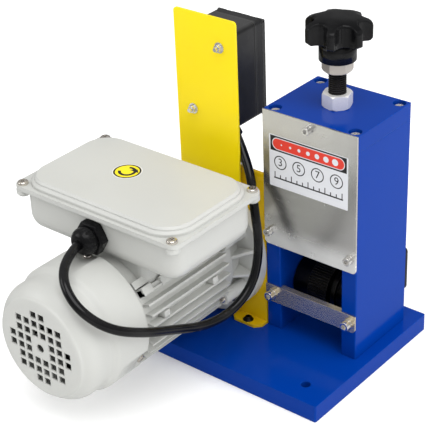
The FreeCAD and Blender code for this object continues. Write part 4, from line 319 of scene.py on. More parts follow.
# The guard's lower band is a painted reflection.
guard_steel = metal("guard_steel", (0.70, 0.69, 0.67), (0.75, 0.74, 0.715), 0.20,
                    grain=(0.02, 1.0, 1.0), grain_size=0.0006, metallic=0.96, reflection_heights=(0.116, 0.138))
yellow_zinc = metal("yellow_zinc", (0.84, 0.72, 0.50), (0.78, 0.68, 0.52), 0.16,
                    grain=(0.04, 1.0, 1.0), grain_size=0.0008, metallic=0.88)
warm_zinc = metal("warm_zinc", (0.62, 0.50, 0.28), (0.70, 0.64, 0.48), 0.22)
zinc = metal("zinc", (0.80, 0.79, 0.77), (0.84, 0.82, 0.79), 0.13)
nickel = metal("nickel", (0.74, 0.69, 0.62), (0.76, 0.72, 0.68), 0.20)
satin_nickel = metal("satin_nickel", (0.94, 0.91, 0.88), (0.95, 0.93, 0.91), 0.30, metallic=0.42)
dull_nickel = metal("dull_nickel", (0.50, 0.46, 0.42), (0.54, 0.50, 0.46), 0.32, metallic=0.50)
bright_nickel = metal("bright_nickel", (0.84, 0.80, 0.74), (0.86, 0.82, 0.78), 0.22, metallic=0.70)
black_steel = metal("black_steel", (0.022, 0.021, 0.021), (0.034, 0.032, 0.032), 0.30,
                    worn=(0.20, 0.19, 0.18), worn_share=0.5)
ground_steel = metal("ground_steel", (0.50, 0.50, 0.50), (0.56, 0.56, 0.55), 0.24,
                     grain=(0.1, 1.0, 1.0), grain_size=0.0009)
bronze = metal("bronze", (0.52, 0.34, 0.13), (0.60, 0.42, 0.20), 0.28)
print("finishes so far:", len(bpy.data.materials))

# %% [markdown]
# ## Laminations and windings
# The stator is a stack of thin sheets and its coils are bundles of lacquered wire. Both repeat,
# so a saw of the place along the motor's axis makes the sheets, and slanting bands, bent a
# little at random, make the wires.

# %% Laminations and windings
sheet_thick = 0.0007


def laminations():
    f = Finish("laminations")
    sheet = (f.part("Y") * (1 / sheet_thick)).fraction()
    gap = abs(sheet - 0.5).eased(0.38, 0.5)
    tone = f.mix(gap, (0.30, 0.30, 0.31), (0.06, 0.06, 0.06))
    tone = f.mix(f.noise(0.02, detail=4.0).eased(0.5, 0.75, 0.0, 0.3), tone, (0.20, 0.12, 0.07))
    return f.surface(tone, 0.42 + gap * 0.3, 0.9, f.bump(1 - gap, 0.00015))


def windings():
    f = Finish("windings")
    wires = f.add("ShaderNodeTexWave", {"bands_direction": "DIAGONAL"},
                  {"Vector": f.place(), "Scale": 260.0, "Distortion": 3.5, "Detail": 2.0}, out="Fac")
    tone = f.mix(wires, (0.30, 0.09, 0.03), (0.62, 0.25, 0.09))
    return f.surface(tone, 0.28, 0.6, f.bump(wires, 0.0004), Coat_Weight=0.5)


lamination_steel = laminations()
copper_wire = windings()
print("inside the motor:", lamination_steel.name, copper_wire.name)

# %% [markdown]
# ## Plastics and rubber
# Moulded plastic is black but never flat: it has a fine spark grain and a slight cloud, and its
# edges are painted paler as a painted highlight. The switch box has a groove and a ridge round it
# where the moulding ends; the ridge is painted paler too, a painted highlight. The switch box's top
# is glossier than its sides, which a coat does. On the knob it is the sides that shine. The cord's
# jacket is smoother than both.

# %% Plastics
ridge_from_seam = 0.0012


def plastic(name, colour, rough, grain=0.0007, grain_deep=0.00003, edge_radius=0.0008, specular=0.5,
            dust=0.06, edge_colour=None, seam=None, top_coat=0.0, side_coat=0.0):
    """Moulded plastic. `seam` is where along Y a groove and a ridge run round the moulding.
    `top_coat` makes the faces that look up glossier, and `side_coat` all the others."""
    f = Finish(name)
    pale = edge_colour or [min(1.0, c * 1.6 + 0.02) for c in colour]
    tone = f.mix(f.noise(0.025, detail=4.0).eased(0.4, 0.75, 0.0, 0.35), colour, pale)
    # Edges are painted paler: a painted highlight.
    tone = f.mix(f.edges(edge_radius) * 0.4, tone, pale)
    spark = f.noise(grain, detail=2.0)
    specks = f.noise(0.0018, detail=1.0).eased(0.68, 0.75, 0.0, dust)
    tone = f.mix(specks, tone, (0.45, 0.44, 0.42))
    normal = f.bump(spark, grain_deep, f.rounded(edge_radius), 0.7)
    if seam is not None:
        groove = abs(f.part("Y") - seam).eased(0.0004, 0.0007, 1.0, 0.0)
        # The ridge is bumped and also painted paler: a painted highlight.
        ridge = abs(f.part("Y") - (seam + ridge_from_seam)).eased(0.0004, 0.0008, 1.0, 0.0)
        tone = f.mix(groove, f.mix(ridge * 0.7, tone, pale), (0.0006, 0.0006, 0.0006))
        normal = f.bump(1 - groove + ridge * 0.5, 0.0006, normal)
    coat = {}
    if top_coat != side_coat:
        true = f.add("ShaderNodeNewGeometry", out="Normal")
        upwards = f.add("ShaderNodeSeparateXYZ", {}, {0: true}, out=2).eased(0.55, 0.95)
        coat = {"Coat_Weight": side_coat + upwards * (top_coat - side_coat), "Coat_Roughness": rough}
    return f.surface(tone, rough + spark * 0.08, 0.0, normal, Specular_IOR_Level=specular, **coat)


black_plastic = plastic("black_plastic", (0.0035, 0.0035, 0.004), 0.20, grain_deep=0.00001,
                        specular=0.17, dust=0.01)
switch_plastic = plastic("switch_plastic", (0.0055, 0.0055, 0.006), 0.34, grain=0.001,
                         specular=0.42, dust=0.03, edge_colour=(0.035, 0.035, 0.036), seam=0.0200,
                         top_coat=0.75)
knob_plastic = plastic("knob_plastic", (0.0035, 0.0035, 0.004), 0.20, grain_deep=0.00001,
                       specular=0.07, dust=0.01, side_coat=0.26)
switch_face = plastic("switch_face", (0.012, 0.012, 0.013), 0.34, specular=0.3, dust=0.03)
green_plastic = plastic("green_plastic", (0.015, 0.30, 0.06), 0.25, edge_colour=(0.05, 0.42, 0.12))
red_plastic = plastic("red_plastic", (0.52, 0.012, 0.01), 0.25, edge_colour=(0.65, 0.05, 0.04))
cable_black = plastic("cable_black", (0.0025, 0.0025, 0.003), 0.10, grain=0.0015, grain_deep=0.00001,
                      edge_radius=0.0003, specular=0.28, dust=0.01)
print("plastics:", black_plastic.name, switch_plastic.name, knob_plastic.name, cable_black.name)


# %% Smoked flap
def smoked_clear():
    """The flap over the buttons, dark enough that they show only when it is lifted."""
    f = Finish("clear_flap")
    scuff = f.noise(0.004, scale=(0.2, 1.0, 1.0), detail=5.0)
    tone = f.mix(scuff, (0.006, 0.006, 0.007), (0.02, 0.02, 0.022))
    rim = f.edges(0.0008)
    alpha = 0.90 + rim * 0.08 + scuff * 0.04
    normal = f.bump(scuff, 0.00001, f.rounded(0.0006))
    return f.surface(tone, 0.10 + scuff * 0.1, 0.0, normal, Alpha=alpha, Specular_IOR_Level=0.35)


clear_flap = smoked_clear()
print("flap:", clear_flap.name)

# %% [markdown]
# ## Which piece wears which finish
# The record names a slot for every node. Most nodes take their slot's finish. A few differ
# inside one slot, because the photograph shows it: the motor's screws and both nuts of the height
# screw are nickel, each with its own dullness, and the motor's bracket wears a darker, more orange
# copy of the yellow paint, which is painted shade.

# %% Dress the nodes
slot_finish = {
    "blue_paint": blue_paint, "black_steel": black_steel, "stainless": stainless,
    "yellow_zinc": yellow_zinc, "zinc": zinc, "ground_steel": ground_steel, "bronze": bronze,
    "copper": copper_wire, "grey_paint": grey_paint, "yellow_paint": yellow_paint,
    "black_plastic": black_plastic, "clear_flap": clear_flap, "switch_face": switch_face,
    "green_plastic": green_plastic, "red_plastic": red_plastic, "black_rubber": cable_black,
}
# The motor bracket takes the darker copy of the yellow paint: painted shade.
node_finish = {
    "motor_screws": nickel, "flange_bolts": warm_zinc, "drive_screws": black_steel,
    "guard_plate": guard_steel, "jam_nut": dull_nickel, "lock_nut": satin_nickel,
    "column_screws": bright_nickel, "feed_wheel": black_steel, "motor_bracket": ochre_paint,
    "stator_core": lamination_steel, "rotor_core": lamination_steel, "switch_box": switch_plastic,
}


def dress(piece, material):
    piece.data.materials.clear()
    piece.data.materials.append(material)


for row in frame["record"]["subparts"]:
    dress(frame["nodes"][row["node"]], node_finish.get(row["node"], slot_finish[row["material_slot"]]))

# %% [markdown]
# ## Shapes that follow a rule
# The knob's outline is one rule in the angle: seven round lobes, and a round valley between each
# two. A screw thread is a rule too: its depth depends on the height and the angle together. Both
# could be cut with booleans, but a rule gives cleaner faces. So a flat grid is bent round an
# axis: its first direction becomes the angle, and its second runs along the profile. Geometry
# Nodes do this with the sizes as named inputs, and the result becomes a plain mesh.

# %% Rule shapes
seam_gap = 0.000002


class Shape(Tree):
    """A geometry tree with named sizes, which ends as one plain mesh."""

    def __init__(self, name, **sizes):
        super().__init__(bpy.data.node_groups.new(name, "GeometryNodeTree"))
        self.sizes = sizes
        self.tree.interface.new_socket("Geometry", in_out="OUTPUT", socket_type="NodeSocketGeometry")
        self.keys = {label: self.tree.interface.new_socket(label, in_out="INPUT",
                                                           socket_type="NodeSocketFloat").identifier
                     for label in sizes}
        self.given = self.tree.nodes.new("NodeGroupInput")

    def __getitem__(self, label):
        return Wire(self, self.given.outputs[label])

    def sheet(self, around, rows):
        """A flat grid, and its two directions as wires that run from 0 to 1."""
        grid = self.add("GeometryNodeMeshGrid", {},
                        {"Size X": 1.0, "Size Y": 1.0, "Vertices X": around + 1, "Vertices Y": rows + 1})
        spot = self.add("GeometryNodeInputPosition")
        across = self.add("ShaderNodeSeparateXYZ", {}, {0: spot}, out=0) + 0.5
        along = self.add("ShaderNodeSeparateXYZ", {}, {0: spot}, out=1) + 0.5
        return grid, across, along

    def profile(self, along, points):
        """A curve through (share, value) pairs, straight from one to the next."""
        return self.add("ShaderNodeFloatCurve", {"points": points}, {"Value": along})

    def turned(self, grid, angle, radius, height, centre, lying=False):
        """Bends the grid round an axis and closes its seam; a lying axis points to the front."""
        first = radius * angle.cosine() + centre[0]
        second = radius * angle.sine() + centre[1]
        place = self.add("ShaderNodeCombineXYZ", {},
                         {0: first, 1: height, 2: second} if lying else {0: first, 1: second, 2: height})
        bent = self.add("GeometryNodeSetPosition", {}, {"Geometry": grid, "Position": place})
        closed = self.add("GeometryNodeMergeByDistance", {}, {"Geometry": bent, "Distance": seam_gap})
        return self.add("GeometryNodeSetShadeSmooth", {}, {"Geometry": closed})

    def drum(self, radius, low, high, centre):
        """A plain round of a given height."""
        disc = self.add("GeometryNodeMeshCylinder", {},
                        {"Vertices": 64, "Radius": radius, "Depth": high - low})
        side = Wire(self, disc.socket.node.outputs["Side"])
        place = self.add("ShaderNodeCombineXYZ", {}, {0: centre[0], 1: centre[1], 2: (high + low) / 2})
        moved = self.add("GeometryNodeTransform", {}, {"Geometry": disc, "Translation": place})
        return self.add("GeometryNodeSetShadeSmooth", {}, {"Geometry": moved, "Selection": side})

    def grown(self, parts, material, body, replaced, slot):
        """Ends the tree and turns what it makes into a plain mesh."""
        joint = self.tree.nodes.new("GeometryNodeJoinGeometry")
        for part in parts:
            self.tree.links.new(part.socket, joint.inputs[0])
        whole = self.add("GeometryNodeRealizeInstances", {}, {0: Wire(self, joint.outputs[0])})
        done = self.add("GeometryNodeSetMaterial", {}, {"Geometry": whole, "Material": material})
        self.add("NodeGroupOutput", {}, {0: done})
        name = self.tree.name
        piece = bpy.data.objects.new(name, bpy.data.meshes.new(name + "_start"))
        scene.collection.objects.link(piece)
        modifier = piece.modifiers.new(name, "NODES")
        modifier.node_group = self.tree
        for label, value in self.sizes.items():
            modifier[self.keys[label]] = value
        shaped = piece.evaluated_get(bpy.context.evaluated_depsgraph_get())
        mesh = bpy.data.meshes.new_from_object(shaped)
        piece.modifiers.remove(modifier)
        piece.data = mesh
        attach(piece, body)
        if replaced:
            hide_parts(*replaced)
        print(name, "vertices", len(mesh.vertices), "materials", len(mesh.materials))


column_centre = (0.063, 0.030)

# %% [markdown]
# ## Star knob
# A moulded knob with seven lobes turns the height screw. Its top is a full dome that runs out
# over the lobes, its rim is rounded, its lower edge is sloped, and a plain hub stands below it.
# Near the middle of a lobe the outline is the lobe's circle, and between two lobes it is the
# valley's circle. A smooth minimum joins them, as a mould maker's radius would. The profile runs
# along the grid's second direction: underside and slope first, then wall, rim and dome.

# %% Star knob
knob = Shape("star_knob_moulded", lobes=7.0, radius=0.030, lobe_radius=0.008, valley_radius=0.009,
             valley_in=0.001, blend=0.0022, crown=0.0065, high=0.0154, rim=0.0026, foot=0.3056,
             turned=math.radians(-16.3), skirt=0.027, hub_radius=0.0165, hub_low=0.2882)
slope_ends, wall_ends, rim_ends = 0.16, 0.48, 0.72
valley_steepness = 5.0
grid, across, along = knob.sheet(308, 46)
from_lobe = ((across * knob["lobes"] + 0.5).fraction() - 0.5) * (2 * math.pi) / knob["lobes"]
from_valley = math.pi / knob["lobes"] - abs(from_lobe)
lobe_circle = knob["radius"] - knob["lobe_radius"]
valley_circle = knob["radius"] - knob["valley_in"]
lobe_chord = lobe_circle * from_lobe.sine()
valley_chord = valley_circle * from_valley.sine()
lobe_rise = (knob["lobe_radius"] ** 2 - lobe_chord * lobe_chord).root()
valley_drop = (knob["valley_radius"] ** 2 - valley_chord * valley_chord).root()
lobe = lobe_circle * from_lobe.cosine() + lobe_rise
valley = valley_circle * from_valley.cosine() - valley_drop
valley = valley + (valley_chord - knob["valley_radius"]).most(0.0) * valley_steepness
star = lobe.math("SMOOTH_MIN", lobe, valley, knob["blend"])
share = along.ramp(0.0, slope_ends, 0.5, 1.0) * along.ramp(rim_ends, 1.0, 1.0, 0.0)
wall = along.ramp(slope_ends, wall_ends)
bend = along.ramp(wall_ends, rim_ends, 0.0, math.pi / 2)
star = star - knob["rim"] * (1 - bend.cosine())
radius = share * star.least(knob["skirt"] + wall * knob["high"])
out_share = radius / knob["radius"]
dome = knob["high"] + knob["crown"] * (1 - out_share ** 3)
height = knob["foot"] + wall * (dome - knob["rim"]) + knob["rim"] * bend.sine()
star_body = knob.turned(grid, across * (2 * math.pi) + knob["turned"], radius, height, column_centre)
hub_in_body = 0.0005
hub = knob.drum(knob["hub_radius"], knob["hub_low"], knob["foot"] + hub_in_body, column_centre)
knob.grown([star_body, hub], knob_plastic, "knob", ["star_knob"], "black_plastic")

# %% [markdown]
# ## Height screw
# The screw that the knob turns is threaded, two millimetres to the turn. The thread is a ridge
# whose place depends on the height less the angle's share of the pitch, so it climbs by itself.
# It fades out over a turn and a half at both ends, and the plain collar that holds the carriage
# stays below it.

# %% Height screw
screw = Shape("height_screw_threaded", radius=0.008, pitch=0.002, deep=0.0011, low=0.1866, top=0.3151,
              thread_low=0.1930, thread_top=0.3010, collar_radius=0.012, collar_low=0.1817)
screw_rows = 780
turns_to_fade = 1.5
crest_share, flank_share = 0.08, 0.90
collar_overlap = 0.0001
grid, across, along = screw.sheet(36, screw_rows)
height = screw["low"] + along * (screw["top"] - screw["low"])
saw = (height / screw["pitch"] - across).fraction()
groove = 1 - (abs(saw - 0.5) * 2).ramp(crest_share, flank_share)
runs_in = ((height - screw["thread_low"]) / screw["pitch"]).eased(0.0, turns_to_fade)
runs_out = ((screw["thread_top"] - height) / screw["pitch"]).eased(0.0, turns_to_fade)
closed = (along * screw_rows).least(1.0) * ((1 - along) * screw_rows).least(1.0)
radius = (screw["radius"] - screw["deep"] * groove * runs_in * runs_out) * closed
thread = screw.turned(grid, across * (2 * math.pi), radius, height, column_centre)
collar_top = screw["low"] + collar_overlap
collar = screw.drum(screw["collar_radius"], screw["collar_low"], collar_top, column_centre)
screw.grown([thread, collar], black_steel, "knob", ["height_screw"], "black_steel")

# %% [markdown]
# ## Cable gland
# The lead leaves the terminal box through a gland: a hexagon that is screwed into the wall, a
# narrow neck, and a ribbed nut whose dome squeezes a rubber ring on the jacket. The whole profile
# is one curve from the wall to the nose: each row below gives a share of the grid, the way out
# from the wall and the radius, both in millimetres. Along the hexagon the radius may not pass
# the flats, and along the nut a cosine with twelve waves cuts the grip ribs.

# %% Cable gland
gland = Shape("cable_gland_domed", flats=0.028, wide=0.0165, long=0.022, ribs=12.0, rib_deep=0.0006)
gland_wall = -0.1605
gland_axis = (-0.056, 0.1635)
outline_long, outline_wide = 22.0, 16.5
grid, across, along = gland.sheet(144, 60)
outline = [(0.00, 0.0, 0.0), (0.05, 0.0, 12.8), (0.10, 1.0, 16.3), (0.35, 8.0, 16.3), (0.40, 9.0, 13.2),
           (0.44, 9.1, 11.2), (0.48, 9.9, 11.2), (0.52, 10.2, 12.6), (0.65, 15.5, 12.5), (0.72, 17.6, 11.7),
           (0.80, 19.8, 10.1), (0.87, 21.3, 8.2), (0.92, 22.0, 6.6), (0.95, 22.0, 4.9), (1.00, 21.0, 0.0)]
forward = gland.profile(along, [(part, out / outline_long) for part, out, wide in outline]) * gland["long"]
radius = gland.profile(along, [(part, wide / outline_wide) for part, out, wide in outline]) * gland["wide"]
from_flat = ((across * 6.0).fraction() - 0.5) * (math.pi / 3)
hexagon = gland["flats"] / 2 / from_flat.cosine()
out_in_mm = forward * 1000
ribbed = out_in_mm.eased(10.0, 10.6) * out_in_mm.eased(15.5, 17.5, 1.0, 0.0)
wave = (across * gland["ribs"] * (2 * math.pi)).cosine().eased(0.4, 0.9)
radius = radius.least(hexagon) - gland["rib_deep"] * ribbed * wave
gland_body = gland.turned(grid, across * (2 * math.pi), radius, gland_wall - forward, gland_axis, lying=True)
gland.grown([gland_body], black_plastic, "frame", ["cable_gland"], "black_plastic")

# %% [markdown]
# ## Fan cover
# The cover over the fan is pressed from sheet. Its front third is a little narrower than the
# rest, and a soft step joins the two. The solid has the right drum and holes without the step,
# so a copy of its mesh is merged, cut at a few places along the axis, and its rings in front of
# the step are drawn in. The holes lie inside that zone and stay as they are.

# %% Fan cover
import bmesh


def smooth_share(value, low, high):
    share = min(1.0, max(0.0, (value - low) / (high - low)))
    return share * share * (3 - 2 * share)


motor_axis = (-0.056, 0.088)
step_front, step_back = -0.2085, -0.2000
step_deep = 0.0038
step_cuts = 9
zone_inner, zone_outer = 0.046, 0.053
mesh_gap = 0.000005
work = bmesh.new()
work.from_mesh(frame["nodes"]["fan_cover"].data)
bmesh.ops.remove_doubles(work, verts=work.verts, dist=mesh_gap)
for cut in range(step_cuts):
    level = step_front + (step_back - step_front) * cut / (step_cuts - 1)
    bmesh.ops.bisect_plane(work, geom=work.verts[:] + work.edges[:] + work.faces[:],
                           plane_co=(0.0, level, 0.0), plane_no=(0.0, 1.0, 0.0))
for vertex in work.verts:
    out_x, out_z = vertex.co.x - motor_axis[0], vertex.co.z - motor_axis[1]
    away = math.hypot(out_x, out_z)
    drawn_in = (step_deep * (1 - smooth_share(vertex.co.y, step_front, step_back))
                * smooth_share(away, zone_inner, zone_outer))
    if drawn_in > 0:
        vertex.co.x -= out_x / away * drawn_in
        vertex.co.z -= out_z / away * drawn_in
cover_mesh = bpy.data.meshes.new("fan_cover_stepped")
work.to_mesh(cover_mesh)
work.free()
for polygon in cover_mesh.polygons:
    polygon.use_smooth = True
cover_mesh.set_sharp_from_angle(angle=math.radians(32))
cover_mesh.materials.append(grey_paint)
fan_cover = bpy.data.objects.new("fan_cover_stepped", cover_mesh)
scene.collection.objects.link(fan_cover)
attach(fan_cover, "frame")
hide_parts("fan_cover")
print("fan cover faces", len(cover_mesh.polygons))

# %% [markdown]
# ## Cast bosses
# The motor's frame is cast, and the casting carries small bosses: a rail with blocks along the
# fins under the terminal box, and two pads lower down. Each is a block that stands out of the
# round frame, so it is given by an angle about the motor's axis, half its width, its two ends
# along the axis and two radii. The inner radius lies inside the fins, so none hangs in the air.

# %% Cast bosses
def boss_corners(angle, half_wide, back, front, inner, outer):
    """The eight corners of one block."""
    out = Vector((math.cos(angle), 0.0, math.sin(angle)))
    side = Vector((-math.sin(angle), 0.0, math.cos(angle)))
    middle = Vector((motor_axis[0], 0.0, motor_axis[1]))
    return [middle + out * radius + side * (half_wide * sign) + Vector((0.0, along, 0.0))
            for radius in (inner, outer) for along in (front, back) for sign in (-1, 1)]


block_faces = [(1, 3, 2, 0), (3, 7, 6, 2), (1, 5, 7, 3), (4, 5, 1, 0), (2, 6, 4, 0), (6, 7, 5, 4)]
rail_angle, pad_angle = math.radians(34.5), math.radians(7.0)
block_half_wide, block_half_long = 0.0040, 0.0060
rail_half_wide, rail_back, rail_front = 0.0022, -0.0450, -0.1580
rail_inner, rail_outer, block_outer = 0.050, 0.0580, 0.0600
pad_half_wide, pad_half_long = 0.0030, 0.0034
pad_inner, pad_outer = 0.052, 0.0604
bosses = []
for place in (-0.1520, -0.1290, -0.0915, -0.0550):
    bosses.append((rail_angle, block_half_wide, place + block_half_long, place - block_half_long,
                   rail_inner, block_outer))
bosses.append((rail_angle, rail_half_wide, rail_back, rail_front, rail_inner, rail_outer))
for place in (-0.1406, -0.0741):
    bosses.append((pad_angle, pad_half_wide, place + pad_half_long, place - pad_half_long,
                   pad_inner, pad_outer))
corners, faces = [], []
for boss in bosses:
    faces += [tuple(corner + len(corners) for corner in face) for face in block_faces]
    corners += [tuple(corner) for corner in boss_corners(*boss)]
boss_mesh = bpy.data.meshes.new("cast_bosses")
boss_mesh.from_pydata(corners, [], faces)
boss_mesh.materials.append(grey_paint)
cast_bosses = bpy.data.objects.new("cast_bosses", boss_mesh)
scene.collection.objects.link(cast_bosses)
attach(cast_bosses, "frame")
print("bosses", len(bosses), "faces", len(boss_mesh.polygons))

# %% [markdown]
# ## Labels
# A printed label sits on the guard, and a round sticker on the terminal lid. Both are sheets
# about a tenth of a millimetre thick, the label with rounded corners. A print has sharp borders,
# so it is drawn in the material: a distance from a shape, eased over a hair's width, is the mask
# of that shape. The label is a plain scale of wire sizes: a band with growing dots, numbered
# rings below it, and a line with thirteen marks.

# %% Sheets with round corners
sheet_deep = 0.00012


def thin_sheet(name, corners, way, material):
    """A flat outline, raised by a sheet's thickness along `way`."""
    low = [Vector(corner) for corner in corners]
    high = [corner + Vector(way) * sheet_deep for corner in low]
    count = len(low)
    sides = [(n, (n + 1) % count, count + (n + 1) % count, count + n) for n in range(count)]
    faces = [tuple(reversed(range(count))), tuple(range(count, 2 * count))] + sides
    mesh = bpy.data.meshes.new(name)
    mesh.from_pydata([tuple(point) for point in low + high], [], faces)
    mesh.materials.append(material)
    piece = bpy.data.objects.new(name, mesh)
    scene.collection.objects.link(piece)
    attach(piece, "frame")
    print(name, "faces", len(mesh.polygons))


def round_outline(width, tall, corner, steps=5):
    """Points round a rectangle about its centre, against the clock."""
    points = []
    for quarter, (sx, sy) in enumerate(((1, 1), (-1, 1), (-1, -1), (1, -1))):
        for step in range(steps + 1):
            angle = math.pi / 2 * (quarter + step / steps)
            points.append((sx * (width / 2 - corner) + corner * math.cos(angle),
                           sy * (tall / 2 - corner) + corner * math.sin(angle)))
    return points


# %% Printed finishes
hair = 0.0002


class Print(Finish):
    """A finish with flat printed shapes; `x` and `y` are the print's own directions, in metres."""

    def __init__(self, name, x, y, centre):
        super().__init__(name)
        self.x = self.part(x) - centre[0]
        self.y = self.part(y) - centre[1]

    def disc(self, x, y, radius):
        """1 inside a disc."""
        away = ((self.x - x) ** 2 + (self.y - y) ** 2).root()
        return away.eased(radius - hair / 2, radius + hair / 2, 1.0, 0.0)

    def bar(self, x, y, half_x, half_y, corner=0.0):
        """1 inside a bar with round ends."""
        across = (abs(self.x - x) - (half_x - corner)).most(0.0)
        along = (abs(self.y - y) - (half_y - corner)).most(0.0)
        away = (across * across + along * along).root()
        return away.eased(corner, corner + hair, 1.0, 0.0)

    def printed(self, ground, layers, rough=0.3):
        """Lays the shapes over each other, the last on top."""
        tone = self.mix(self.noise(0.03).eased(0.4, 0.7, 0.0, 0.05), ground, [c * 0.9 for c in ground])
        for mask, colour in layers:
            tone = self.mix(mask, tone, colour)
        return self.surface(tone, rough + self.noise(0.004).eased(0.4, 0.7, 0.0, 0.08), 0.0,
                            self.bump(self.noise(0.003), 0.000008), Specular_IOR_Level=0.4)


# %% Label on the guard
label_centre = (0.0620, 0.1965)
label_size = (0.084, 0.051)
guard_face = -0.0125
white_ink = (0.72, 0.73, 0.76)
dark_ink = (0.012, 0.012, 0.013)
red_ink = (0.72, 0.045, 0.025)
band_high, ring_high, line_high = 0.0175, -0.0005, -0.0165
dots, first_dot, dot_step = 7, -0.0285, 0.0095
marks, first_mark, mark_step = 13, -0.0360, 0.0060
ring_places = [-0.0300, -0.0100, 0.0100, 0.0300]
p = Print("guard_label_print", "X", "Z", label_centre)
layers = [(p.bar(0.0, band_high, 0.0405, 0.0073), dark_ink),
          (p.bar(0.0, band_high, 0.0385, 0.0058, 0.0056), white_ink),
          (p.bar(0.0, band_high, 0.0378, 0.0051, 0.0050), red_ink)]
for number in range(dots):
    dot = p.disc(first_dot + dot_step * number, band_high, 0.0008 + 0.0004 * number)
    layers.append((dot, white_ink))
for place in ring_places:
    layers.append((p.disc(place, ring_high, 0.0068), dark_ink))
    layers.append((p.disc(place, ring_high, 0.0058), white_ink))
layers.append((p.bar(0.0, line_high, 0.0370, 0.0006), dark_ink))
for number in range(marks):
    tall = 0.0030 if number % 3 == 0 else 0.0018
    layers.append((p.bar(first_mark + mark_step * number, line_high + tall, 0.0004, tall), dark_ink))
label_print = p.printed(white_ink, layers)
label_outline = [(label_centre[0] + x, guard_face, label_centre[1] + y)
                 for x, y in round_outline(*label_size, 0.0008)]
thin_sheet("guard_label", label_outline, (0, -1, 0), label_print)

# %% Numbers in the rings
number_ink = plastic("number_ink", dark_ink, 0.3, specular=0.4, dust=0.0)
wire_sizes = "3579"
number_size = 0.0105
ink_thick = 0.00002
number_face = guard_face - 0.00013
for place, wire_size in zip(ring_places, wire_sizes):
    font = bpy.data.curves.new("number_" + wire_size, "FONT")
    font.body = wire_size
    font.size = number_size
    font.align_x = "CENTER"
    font.align_y = "CENTER"
    font.extrude = ink_thick
    text = bpy.data.objects.new("number_text", font)
    scene.collection.objects.link(text)
    mesh = bpy.data.meshes.new_from_object(text.evaluated_get(bpy.context.evaluated_depsgraph_get()))
    bpy.data.objects.remove(text)
    centre = (label_centre[0] + place, number_face, label_centre[1] + ring_high)
    mesh.transform(Matrix.Translation(centre) @ Matrix.Rotation(math.pi / 2, 4, "X"))
    mesh.materials.clear()
    mesh.materials.append(number_ink)
    digit = bpy.data.objects.new("guard_number_" + wire_size, mesh)
    scene.collection.objects.link(digit)
    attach(digit, "frame")
print("numbers", *wire_sizes)

# %% Sticker on the terminal lid
# A round mark with a turning arrow: an open ring and its head.
sticker_centre = (-0.0725, -0.0985)
sticker_radius = 0.0135
lid_face = 0.1930
sticker_steps = 48
rim_radius, arrow_radius = 0.0118, 0.0070
head_x, head_y = 0.0052, 0.0050
p = Print("sticker_print", "X", "Y", sticker_centre)
away = (p.x ** 2 + p.y ** 2).root()
bearing = p.y.math("ARCTAN2", p.y, p.x)
border = away.eased(0.0126, 0.0128)
rim = abs(away - rim_radius).eased(0.0007, 0.0009, 1.0, 0.0)
arrow = abs(away - arrow_radius).eased(0.0013, 0.0015, 1.0, 0.0)
arrow = arrow * abs(bearing + 0.35).eased(2.35, 2.38, 1.0, 0.0)
head = (abs(p.x - head_x) * 0.9 + (p.y - 0.0048)).eased(0.0030, 0.0032, 1.0, 0.0)
head = head * (p.y - 0.0030).eased(0.0, hair) * p.disc(head_x, head_y, 0.0055)
layers = [(border, white_ink), (rim, dark_ink), (arrow, dark_ink), (head, dark_ink)]
sticker_print = p.printed((0.88, 0.72, 0.01), layers)
sticker_outline = []
for step in range(sticker_steps):
    angle = 2 * math.pi * step / sticker_steps
    sticker_outline.append((sticker_centre[0] + sticker_radius * math.cos(angle),
                            sticker_centre[1] + sticker_radius * math.sin(angle), lid_face))
thin_sheet("lid_sticker", sticker_outline, (0, 0, 1), sticker_print)

# %% [markdown]
# ## Cords
# Two cords leave this machine. The motor lead comes out of the gland, hangs in front of the
# motor in one big loop, runs up beside the column and goes into the switch. The mains lead
# comes down behind the switch and is put away as a round coil behind the machine. Each is one
# smooth spline through the route's points, so it bends the way a real jacket does.

# %% Cords
def cord_curve(name, points, diameter, material):
    curve = bpy.data.curves.new(name, "CURVE")
    curve.dimensions = "3D"
    spline = curve.splines.new("NURBS")
    spline.points.add(len(points) - 1)
    for point, place in zip(spline.points, points):
        point.co = (*place, 1.0)
    spline.order_u = 3
    spline.use_endpoint_u = True
    spline.resolution_u = 8
    curve.bevel_depth = diameter / 2
    curve.bevel_resolution = 6
    curve.use_fill_caps = True
    curve.materials.append(material)
    piece = bpy.data.objects.new(name, curve)
    scene.collection.objects.link(piece)
    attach(piece, "frame")
    print(name, "points", len(points), "diameter", diameter)
    return piece


motor_lead_diameter = 0.0085
motor_lead_route = [
    (-0.0560, -0.1825, 0.1635), (-0.0508, -0.2023, 0.1625), (-0.0345, -0.2240, 0.1552),
    (-0.0118, -0.2303, 0.1401), (0.0091, -0.2174, 0.1220), (0.0168, -0.1846, 0.1040),
    (0.0160, -0.1480, 0.0870), (0.0190, -0.1098, 0.0705), (0.0230, -0.0760, 0.0690),
    (0.0265, -0.0480, 0.0860), (0.0235, -0.0340, 0.1177), (0.0141, -0.0290, 0.1540),
    (0.0005, -0.0163, 0.1845), (-0.0239, -0.0041, 0.2046),
]
motor_lead = cord_curve("motor_lead_cord", motor_lead_route, motor_lead_diameter, cable_black)
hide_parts("motor_lead")

# %% [markdown]
# ## The coil
# About 1.4 m of the mains lead is wound: two and a half turns inwards on an upper layer, down
# through half a turn, and out again on the floor. The same formula as the solid's gives the
# control points, twenty four to a turn.

# %% The mains cord
mains_diameter = 0.0075
coil_centre = (-0.044, 0.204)
coil_outer = 0.052
coil_step = 0.0083
coil_turns = 2.5
coil_end = 2 * coil_turns + 0.5
points_to_a_turn = 24


